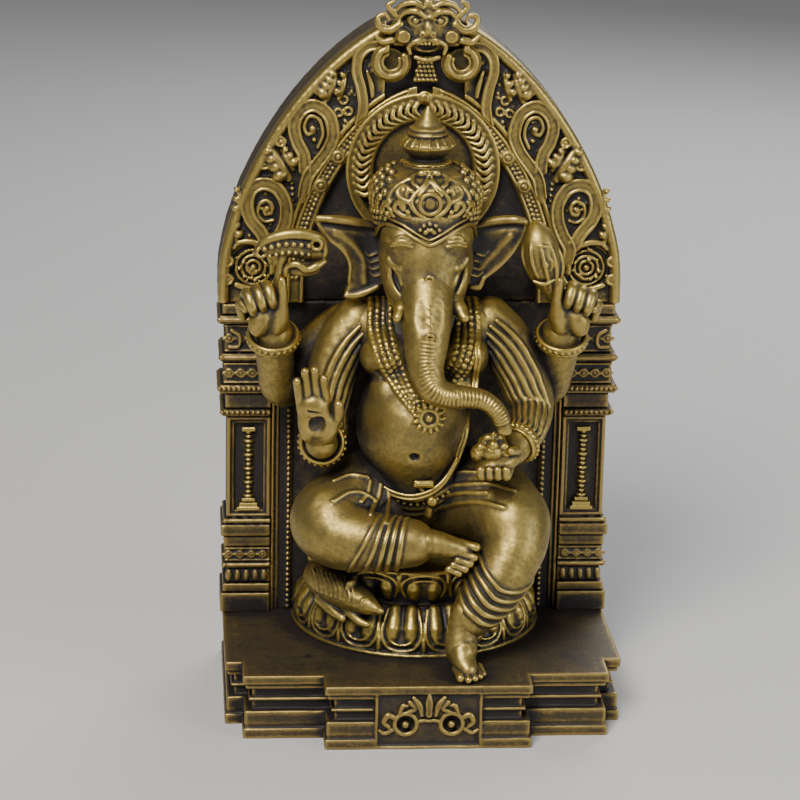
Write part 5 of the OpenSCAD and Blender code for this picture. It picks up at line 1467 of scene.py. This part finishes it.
def rear_arms():
    for side, name in SIDES.items():

        def raised(points):
            """Figure points of the right arm, put on this side."""
            p = fig(points)
            p[..., 0] = side * p[..., 0] + LEAN
            return p
        path = raised([[18.8, 13.5, 61, 5.6], [23.8, 13.8, 57, 5.6], [28.6, 13.5, 52, 5.4],
                       [32.4, 13, 46.6, 5.2], [34.6, 11.5, 43.4, 5.0], [36.2, 9, 45.4, 4.9],
                       [37, 6.4, 50, 4.9], [37.6, 4.2, 56, 5.1], [37.8, 3.2, 60.6, 5.0]])
        clay = Clay(*near(path, 1.5), 0.3)
        clay.tube(path, 0.5, per=5)
        clay.egg(raised((35.6, 9.6, 46)), (5.2, 5, 5), 2)
        clay.weather(0.1, 6, 81).limit(1, high=NICHE + 0.8)
        cast(clay, f"rear_{name}_upraised_arm", "gold", f"rear_{name}_arm")

        low, high, c = centred(f"rear_{name}_bracelet")
        clay = Clay(low - [1, 1, 1.5], high + [1, 1, 1.5], 0.2)
        axis = (0, -0.44, 0.9)
        r = (high[0] - low[0]) / 2 - 1.0
        clay.ring(c, axis, r - 0.1, 1.0, 0.2)
        trim(clay, c, axis, np.array([1.0, 0, 0]), r + 0.35, ((-0.9, 0.6), (0.75, 0.5)),
             r + 0.75, 0.55, 14)
        cast(clay, f"rear_{name}_bangle", "bright_gold", f"rear_{name}_bracelet")

        # the palm faces forwards, three fingers curl over what it holds, one points up
        clay = Clay(*near(raised([[30, -6, 58], [50, 8, 80]])), 0.22)
        clay.tube(raised([[37.8, 3, 58, 4.2], [38.2, 2.2, 62, 4.6], [39.2, 1.4, 66, 5.2],
                          [40, 1.4, 69, 4.6]]), 0.8, flat=((0, 1, 0.1), 1.25))
        clay.egg(raised((41.6, -1.6, 65.4)), (2.9, 2.4, 4.2), 0.7, (0, -side * 16, 0))
        clay.egg(raised((36.6, -0.8, 66.4)), (2.4, 2.6, 5.0), 0.7, (0, -side * 8, 0))
        clay.tube(raised([[36.4, -1.2, 68, 2.0], [36, -1.8, 71.6, 1.6], [36, -2.2, 74.6, 1.35],
                          [36.2, -2.4, 76.6, 1.05]]), 0.6)
        for i in range(3):
            x, z = 39.6 + 2.5 * i, 73.4 - 1.0 * i
            clay.tube(raised([[x + 0.4, 2.6, z - 3, 1.7], [x + 0.5, 0.8, z + 0.6, 1.7],
                              [x, -2.2, z + 0.8, 1.6], [x - 0.8, -3.6, z - 1.6, 1.4],
                              [x - 1.2, -3.0, z - 3.2, 1.1]]), 0.25)
        clay.tube(raised([[46, 1.6, 66, 1.4], [46.6, -0.4, 69.6, 1.5], [45.4, -2.4, 69, 1.2]]), 0.3)
        clay.weather(0.06, 4, 83)
        cast(clay, f"rear_{name}_fist", "gold", f"rear_{name}_hand")

    low, high = cad("battle_axe")
    clay = Clay(low - [2.5, 2.5, 1], high + [2.5, 1.5, 2.4], 0.22)
    clay.tube(fig([[-40, 1.6, 66, 1.3], [-38.6, 0.2, 76, 1.3], [-37.4, 0, 83, 1.4]]), 0.3)
    clay.tube(fig([[-44, 0.8, 83, 1.0], [-41, 0, 84.6, 2.2], [-36.6, -0.4, 85.4, 3.0],
                   [-32, -0.2, 84.6, 3.0], [-28.6, 0.2, 83, 1.8]]), 0.6, flat=(INWARD, 1.5))
    clay.tube(fig([[-44.6, 0.2, 83.4, 0.9], [-42, -0.6, 86.6, 1.2], [-37, -1.2, 88.4, 1.5],
                   [-31.6, -1.2, 88.4, 1.5], [-28, -0.6, 87, 1.3], [-26.6, 0, 84, 1.0],
                   [-27.4, 0, 81.8, 0.8]]), 0.4)
    clay.beads(fig([[-42.4, -1.2, 84.6], [-37, -2.4, 86.2], [-31, -2.4, 85.8]]), 0.75, 1.7)
    clay.beads(fig([[-41, -1.0, 82.6], [-36.6, -2.2, 83.8], [-31, -2.2, 83.4]]), 0.55, 1.5)
    # the drooping lower lip, which ends in a curl
    clay.tube(fig([[-37, -1.4, 77.6, 0.6], [-36.4, -2.2, 80.2, 0.8], [-34, -3, 81, 0.9],
                   [-31.6, -3, 79.6, 1.0], [-29, -2.6, 80.4, 1.1], [-27, -1.6, 81.4, 0.8]]), 0.3)
    clay.egg(fig((-32.4, -0.8, 79.2)), (4.4, 1.4, 2.0), 0.6)
    clay.ring(fig((-29, -1.8, 86)), (0.2, 1, 0), 1.35, 0.55)
    clay.ring(fig((-43.2, -0.8, 83.6)), (-0.2, 1, 0), 1.2, 0.5)
    clay.weather(0.06, 4, 84)
    cast(clay, "ritual_axe", "gold", "battle_axe")

    low, high = cad("lotus_bud")
    clay = Clay(low - [2.5, 2, 1], high + [2, 1.5, 1.4], 0.22)
    clay.tube(fig([[35.2, 1.6, 66.6, 1.4], [33.6, 1, 71, 1.7], [31.6, 0.4, 76, 3.2],
                   [30, 0, 81, 5.0], [29, 0, 85.4, 4.8], [28.4, 0.2, 89, 2.8],
                   [28.1, 0.5, 91, 1.0]]), 0.4)
    for turn in (-70, -35, 0, 35, 70):
        a = math.radians(turn)
        sx, sy = math.sin(a), math.cos(a)
        rows = [[32.4 + 1.4 * sx, 0.2 - 1.6 * sy, 73.6, 0.5],
                [30.7 + 4.7 * sx, -4.7 * sy, 79, 0.6], [29.5 + 5.2 * sx, -5.2 * sy, 83.4, 0.6],
                [28.7 + 3.6 * sx, -3.6 * sy, 87.4, 0.5], [28.2 + 0.8 * sx, -0.8 * sy, 90.6, 0.4]]
        clay.tube(fig(rows), 0.25)
    clay.ring(fig((30.2, -4.2, 81.4)), (0.1, 1, 0.1), 1.9, 0.5)
    clay.ball(fig((30.2, -4.7, 81.4)), 1.1)
    clay.tube(fig([[27.4, -3.6, 76.8, 0.4], [30.2, -4.4, 76.2, 0.55], [33.4, -3, 77.4, 0.4]]), 0.2)
    clay.tube(fig([[26.6, -3, 85.6, 0.4], [29.2, -4.6, 86.4, 0.5], [32, -3.4, 85.8, 0.4]]), 0.2)
    clay.weather(0.05, 4, 85)
    cast(clay, "closed_lotus", "gold", "lotus_bud")


def front_arms():
    # both arms wear a shawl, and its folds follow them
    shoulders = (
        (-1, 6, 0.9, 91, [[-17.5, 8.4, 63, 6.4], [-21.4, 7.2, 58, 6.4], [-24.4, 5.6, 51, 6.2],
                          [-25.8, 3.6, 44, 6.0], [-26.4, 1.6, 38.6, 5.7], [-26.6, -3, 34.6, 5.2],
                          [-27.2, -7.2, 34.4, 4.6], [-27.6, -10.6, 35, 4.0]]),
        (1, 7, 0.88, 92, [[17.5, 8.4, 63, 6.4], [22, 7.2, 58.4, 6.4], [25.6, 5.4, 52, 6.2],
                          [28, 3, 46, 6.0], [28.8, 0.4, 41, 5.6], [27, -5.6, 37.2, 5.0],
                          [24.4, -10, 35.2, 4.5], [22, -13.2, 33.6, 4.0]]))
    for side, folds, cuff, seed, points in shoulders:
        path = fig(points)
        clay = Clay(*near(path, 2.6), 0.28)
        clay.tube(path, 0.5, per=5)
        for i in range(folds):
            a = 96 - 19 * i
            fold(clay, path, 0.02, 0.64, side * a, side * (a - 16), 0.95, 0.15)
            fold(clay, path, 0.6, cuff, side * (a - 18), side * (a - 6), 0.7)
        if side < 0:
            # two rings at the cuff
            for t in (0.88, 0.93):
                c, d = walk(path, t)
                clay.ring(c[:3], d, c[3] + 0.2, 0.55, 0.2)
        clay.weather(0.09, 5, seed).limit(1, high=NICHE + 0.8)
        cast(clay, f"front_{SIDES[side]}_sleeved_arm", "gold", f"front_{SIDES[side]}_arm")

    for name, axis in (("left", (-0.1, -0.97, 0.2)), ("right", (-0.55, -0.75, -0.3))):
        low, high, c = centred(f"front_{name}_bracelet")
        clay = Clay(low - 1.5, high + 1.5, 0.2)
        r = max(high[0] - low[0], high[2] - low[2]) / 2 - 1
        clay.ring(c, axis, r, 1.0, 0.2, stretch=1.4)
        trim(clay, c, axis, unit(np.cross(axis, (0, 0, 1))), r + 0.3, ((-1.3, 0.5), (1.2, 0.5)),
             r + 0.9, 0.62, 15)
        cast(clay, f"front_{name}_bangle", "bright_gold", f"front_{name}_bracelet")

    # left hand: open palm towards the front, fingers up
    clay = Clay(fig([-38, -22, 30]), fig([-21, -6, 61]), 0.22)
    clay.tube(fig([[-27.8, -12, 36.4, 3.9], [-28.8, -14, 41, 4.6], [-30, -15.4, 46, 4.3]]), 0.6,
              flat=((0, 1, 0.25), 1.5))
    clay.egg(fig((-25.8, -14.6, 40.4)), (2.4, 2.4, 4.0), 1.0, (0, 14, 0))
    clay.egg(fig((-31.6, -14.8, 41)), (2.0, 2.2, 4.4), 1.0, (0, -4, 0))
    clay.egg(fig((-29, -17, 42)), (2.1, 1.3, 2.6), 0.9, cut=True)
    roots = [(-26.8, -15.4, 47), (-29, -15.8, 48.4), (-31.2, -15.8, 48.2), (-33, -15.4, 46.6)]
    tips = [(-27.6, -18.4, 54.8), (-30, -19, 57.2), (-32.4, -18.9, 56.8), (-34.4, -18.2, 54)]
    for a, b in zip(np.array(roots), np.array(tips)):
        clay.tube(fig([[*a, 1.404], [*((a + b) / 2 + [0, 0.6, 0]), 1.3], [*b, 1.066]]), 0.25)
    clay.tube(fig([[-25.4, -13.6, 40, 1.8], [-23.6, -15.4, 44, 1.5],
                   [-23.6, -17, 47.4, 1.25]]), 0.5)
    for z in (43.4, 45.4):
        clay.tube(fig([[-31.4, -17.9, z + 0.6, 0.3], [-29, -18.2, z, 0.35],
                       [-26.8, -17.9, z - 0.8, 0.3]]), 0.3, cut=True)
    clay.weather(0.06, 4, 93)
    cast(clay, "front_left_blessing_palm", "gold", "front_left_hand")

    # right hand: palm up, with a heap of sweets that the trunk reaches for
    clay = Clay(fig([9, -24, 24]), fig([27, -8, 40]), 0.22)
    clay.tube(fig([[21.6, -14, 33.2, 3.7], [19.4, -16.4, 32, 4.4], [16.4, -18, 31.2, 4.2]]), 0.6,
              flat=((0, 0.2, 1), 1.5))
    for i in range(4):
        x = 20.8 - 2.2 * i
        clay.tube(fig([[x, -18.6, 30.6, 1.3], [x - 0.9, -21.6, 29.4, 1.2],
                       [x - 1.2, -22.6, 31.4, 1.05]]), 0.25)
    clay.tube(fig([[22.4, -14.4, 34, 1.6], [22.6, -17.6, 35.2, 1.4], [21, -19.8, 35.6, 1.15]]), 0.4)
    clay.weather(0.06, 4, 94)
    cast(clay, "front_right_cupped_palm", "gold", "front_right_hand")

    low, high = cad("sweet_bowl")
    clay = Clay(low - [1, 1.5, 1], high + [1, 1, 2.5], 0.2)
    for x, y, z, r in ((13.2, -17.4, 34.4, 2.4), (16.4, -18.6, 35, 2.8), (19.4, -17.6, 34.6, 2.4),
                       (15, -16.4, 36.6, 2.3), (18, -16.6, 36.8, 2.3), (16.6, -17.6, 38.3, 1.7)):
        clay.ball(fig((x, y, z)), r, 0.5)
        clay.ball(fig((x, y - 0.5 * r, z + 0.85 * r)), 0.45 * r, 0.4)
    clay.weather(0.12, 2.5, 95).weather(0.08, 1.6, 96)
    cast(clay, "heap_of_sweets", "bright_gold", "sweet_bowl")


def toes(clay, points, r):
    """Toes from the big one outwards, each [root, tip]."""
    for i, (a, b) in enumerate(points):
        s = r * (1.25 if i == 0 else 1.0)
        clay.tube(fig([[*a, s], [*((np.array(a) + b) / 2), s * 0.92], [*b, s * 1.02]]), 0.2)


def legs():
    path = fig([[-8.6, 7, 16.4, 12.4], [-14, 3, 15.4, 12.6], [-20, -2.6, 14, 11.6],
                [-24.6, -8, 12.8, 10.2], [-22.6, -12.6, 10.8, 9.2], [-16.6, -15.4, 9.8, 8.2],
                [-10, -16.6, 9.6, 7.2], [-4, -17.4, 9.8, 6.2]])
    clay = Clay(*near(path, 1.2), 0.3)
    clay.tube(path, 1.0, per=5)
    clay.egg(fig((-24.6, -7.6, 13)), (10.2, 10, 10.2), 2.5)
    # the trouser's hem and the folds that follow it round the shin
    for i, t in enumerate((0.985, 0.95, 0.915, 0.875, 0.83)):
        fold(clay, path, t, t - 0.08 - 0.02 * i, -118 + 6 * i, 96, 0.74 - 0.06 * i, 0.1, 11, 0.2)
    # short wrinkles where the thigh meets the hip
    for pts in ([(-11.6, 22.6), (-12.6, 19.4), (-14.8, 17.6)],
                [(-14.4, 23.6), (-15.2, 21), (-17, 19.6)],
                [(-24.6, 20.6), (-20.4, 22), (-16.4, 21.4), (-13.4, 19.4)],
                [(-24, 24), (-19.6, 25), (-15, 24.4)], [(-9.6, 21), (-9.6, 18.4), (-11, 16.2)]):
        crease(clay, pts, 0.6, 0.4, -0.1)
    clay.weather(0.12, 7, 101).limit(2, low=SEAT - 0.2)
    cast(clay, "folded_clothed_leg", "gold", "folded_leg")

    clay = Clay(fig([-6, -26, 1]), fig([19, -8, 18]), 0.24)
    clay.tube(fig([[-4.6, -17.4, 9.8, 5.2], [-0.6, -18, 10, 4.6], [3.6, -18.6, 9.6, 4.0],
                   [7.4, -18.8, 8.6, 3.3], [9.6, -18.8, 7.6, 2.6]]), 0.6,
              flat=((0, 0.5, 1), 1.18))
    clay.egg(fig((-2.4, -19.6, 12)), (2.0, 1.8, 1.8), 0.8)
    toes(clay, [((8.6, -19, 10.2), (12.6, -19.6, 9.2)), ((8.6, -20.6, 8), (12.2, -21.2, 7)),
                ((7.8, -21, 6.4), (11, -21.6, 5.4)), ((6.8, -21.2, 5), (9.8, -21.8, 4)),
                ((5.6, -21.2, 3.8), (8.2, -21.6, 2.8))], 1.05)
    clay.weather(0.07, 4, 102)
    cast(clay, "folded_bare_foot", "gold", "folded_foot")

    path = fig([[8.6, 7, 16.4, 12.2], [13.6, 2.6, 16.8, 12.0], [18.6, -3, 16.2, 11.2],
                [22.6, -9, 13.4, 10.0], [23.6, -13.4, 9, 8.8], [21.2, -16.6, 3.6, 8.0],
                [17.6, -19, -2, 7.4], [14, -21, -6.4, 6.4], [11.6, -22.2, -9.2, 5.6]])
    clay = Clay(*near(path, 1.2), 0.3)
    clay.tube(path, 1.0, per=5)
    clay.egg(fig((22.8, -9.4, 12.6)), (9.8, 9.6, 9.6), 2.5)
    for i, t in enumerate((0.985, 0.94, 0.895, 0.85, 0.8)):
        dip = [0.08 * math.cos(math.radians(turn - 8)) - 0.06 - 0.008 * i * abs(turn) / 50
               for turn in range(116, -117, -16)]
        swathe(clay, path, [(t + d, turn) for d, turn in zip(dip, range(116, -117, -16))],
               0.8 - 0.05 * i, 0.1, 0.2)
    for pts in ([(4, 20.6), (10, 22.6), (17, 23.8), (23, 22.6)], [(3, 17.4), (9, 20.4), (16, 21.8)],
                [(4, 14.8), (9, 17.8), (15, 19.6), (20, 19.2)], [(6, 24), (11, 25.4), (17, 26)]):
        crease(clay, pts, 0.65, 0.4, 0)
    clay.weather(0.12, 7, 103)
    cast(clay, "hanging_clothed_leg", "gold", "hanging_leg")

    clay = Clay(fig([2, -37, -24.5]), fig([18, -15, -4]), 0.24)
    clay.tube(fig([[10.6, -22.6, -8, 4.6], [9.6, -23.6, -12, 4.3], [9, -25.2, -16, 4.3],
                   [9.4, -28, -19, 3.7], [10.4, -30.6, -20.6, 2.8]]), 0.6,
              flat=((0, 0.7, 0.7), 1.12))
    clay.egg(fig((13.2, -23.8, -13.6)), (1.6, 1.7, 1.7), 0.7)
    clay.egg(fig((9, -22.2, -17.6)), (3.4, 3.6, 3.6), 1.4)
    toes(clay, [((7.4, -29.4, -20.6), (8.2, -33.4, -21.9)),
                ((9.4, -30.4, -20.8), (10.2, -34.2, -22)),
                ((11.2, -30, -20.8), (12, -33.4, -22)), ((12.6, -29, -20.8), (13.4, -32, -22)),
                ((13.6, -27.6, -20.8), (14.4, -30.2, -22))], 0.98)
    clay.weather(0.07, 4, 104).limit(2, low=PLINTH)
    cast(clay, "hanging_bare_foot", "gold", "hanging_foot")


def mouse():
    low, high = cad("mouse")
    clay = Clay(low - [4, 2.5, 2.5], high + [3, 3, 2.5], 0.22)
    clay.tube(fig([[-27, 2.6, -6.4, 4.2], [-24.6, -1.4, -6.6, 5.4], [-21.6, -5.6, -7.4, 5.2],
                   [-18.8, -9.2, -8, 4.3], [-16, -12.2, -8.6, 3.3], [-13.6, -14.4, -9.2, 2.0],
                   [-11.8, -15.8, -9.7, 1.0]]), 0.6)
    for s, y in ((-1, -8.4), (1, -11.2)):
        clay.egg(fig((-18.6 - 0.4 * s, y + 0.4, -4.6)), (2.1, 1.0, 2.1), 0.4, (0, 20, 38))
    clay.ball(fig((-15.8, -14.8, -7.6)), 0.75, 0.2)
    clay.ring(fig((-15.8, -14.9, -7.6)), (0.4, -0.9, 0.2), 0.95, 0.28)
    clay.ball(fig((-11.3, -16.2, -9.6)), 0.6)
    clay.tube(fig([[-13.6, -16.4, -10.6, 0.3], [-15.4, -16.2, -10.8, 0.32],
                   [-17, -15.2, -10.4, 0.3]]), 0.2, cut=True)
    clay.tube(fig([[-20, -10.4, -11, 1.7], [-17.4, -14, -13, 1.3],
                   [-15.2, -15.6, -13.6, 1.0]]), 0.5)
    clay.tube(fig([[-26, -4.6, -10.6, 2.6], [-23.4, -9.4, -12.4, 1.6], [-21.4, -11.8, -13.2, 1.2]]),
              0.5)
    for i in range(9):
        x = -29 + 1.15 * i
        crease(clay, [(x, -2.6), (x + 1.0, -5), (x + 1.2, -7.6)], 0.3, 0.2, 0.05)
    clay.weather(0.07, 3, 111)
    cast(clay, "attendant_mouse", "gold", "mouse")


# ------------------------------------------------------------------ the whole idol

plinth()
back()
arch_ground()
for side, seed in ((-1, 201), (1, 202)):
    border(side, seed)
    inner_arch(side, seed)
    pillar(side, seed)
halo()
crest()
lotus()
body = torso()
dress(body)
head()
trunk()
ears()
crown()
rear_arms()
front_arms()
legs()
mouse()
second_pass()
for ob in CAST:
    ob.data.materials.clear()
    ob.data.materials.append(PAINTS[ob["paint"]])
    del ob["paint"]

# ------------------------------------------------------------------ studio

FLOOR_HALF = 4.0
floor_mesh = bpy.data.meshes.new("studio_floor")
corners = ((-1, -1), (1, -1), (1, 1), (-1, 1))
floor_corners = [(x * FLOOR_HALF, y * FLOOR_HALF, 0) for x, y in corners]
floor_mesh.from_pydata(floor_corners, [], [(0, 1, 2, 3)])
floor = put("studio_floor", floor_mesh)
pale = bpy.data.materials.new("pale_floor")
pale.use_nodes = True
finish = pale.node_tree.nodes["Principled BSDF"].inputs
finish["Base Color"].default_value = (0.62, 0.61, 0.6, 1)
finish["Roughness"].default_value = 0.85
floor_mesh.materials.append(pale)

sky = bpy.data.worlds.new("studio")
sky.use_nodes = True
glow = sky.node_tree.nodes["Background"].inputs
glow["Color"].default_value = (0.82, 0.84, 0.88, 1)
glow["Strength"].default_value = 0.22
bpy.context.scene.world = sky


def lamp(name, at, aim, size, power, tint=(1, 1, 1)):
    """A square area light. size is in metres and power in watts."""
    light = bpy.data.lights.new(name, "AREA")
    light.shape, light.size, light.energy, light.color = "SQUARE", size, power, tint
    ob = put(name, light)
    ob.location = at
    ob.rotation_euler = (Vector(aim) - Vector(at)).to_track_quat("-Z", "Y").to_euler()


MIDDLE = (0, 0, 0.09)
lamp("key", (-0.25, -0.55, 0.72), MIDDLE, 0.34, 9.0, (1, 0.97, 0.92))
lamp("fill", (0.7, -0.5, 0.35), MIDDLE, 0.5, 3.2, (0.9, 0.94, 1))
lamp("back", (0.3, 0.7, 0.6), MIDDLE, 0.5, 4.0)

# the camera stands a little to the viewer's left, looking slightly down
DISTANCE = 0.7934
turn, rise, roll = math.radians(-4.56), math.radians(16.69), math.radians(1.23)
away = Vector((math.sin(turn) * math.cos(rise), -math.cos(turn) * math.cos(rise), math.sin(rise)))
across = Vector((math.cos(turn), math.sin(turn), 0))
up = away.cross(across)
right = across * math.cos(roll) + up * math.sin(roll)
top = -across * math.sin(roll) + up * math.cos(roll)
data = bpy.data.cameras.new("camera")
data.sensor_width, data.lens = 36, 135.2
data.dof.use_dof = False
camera = put("camera", data)
target = Vector((-6.22, 2.5, 83.26)) * MM
pose = Matrix((right, top, away)).transposed().to_4x4()
pose.translation = target + away * DISTANCE
camera.matrix_world = pose
bpy.context.scene.camera = camera
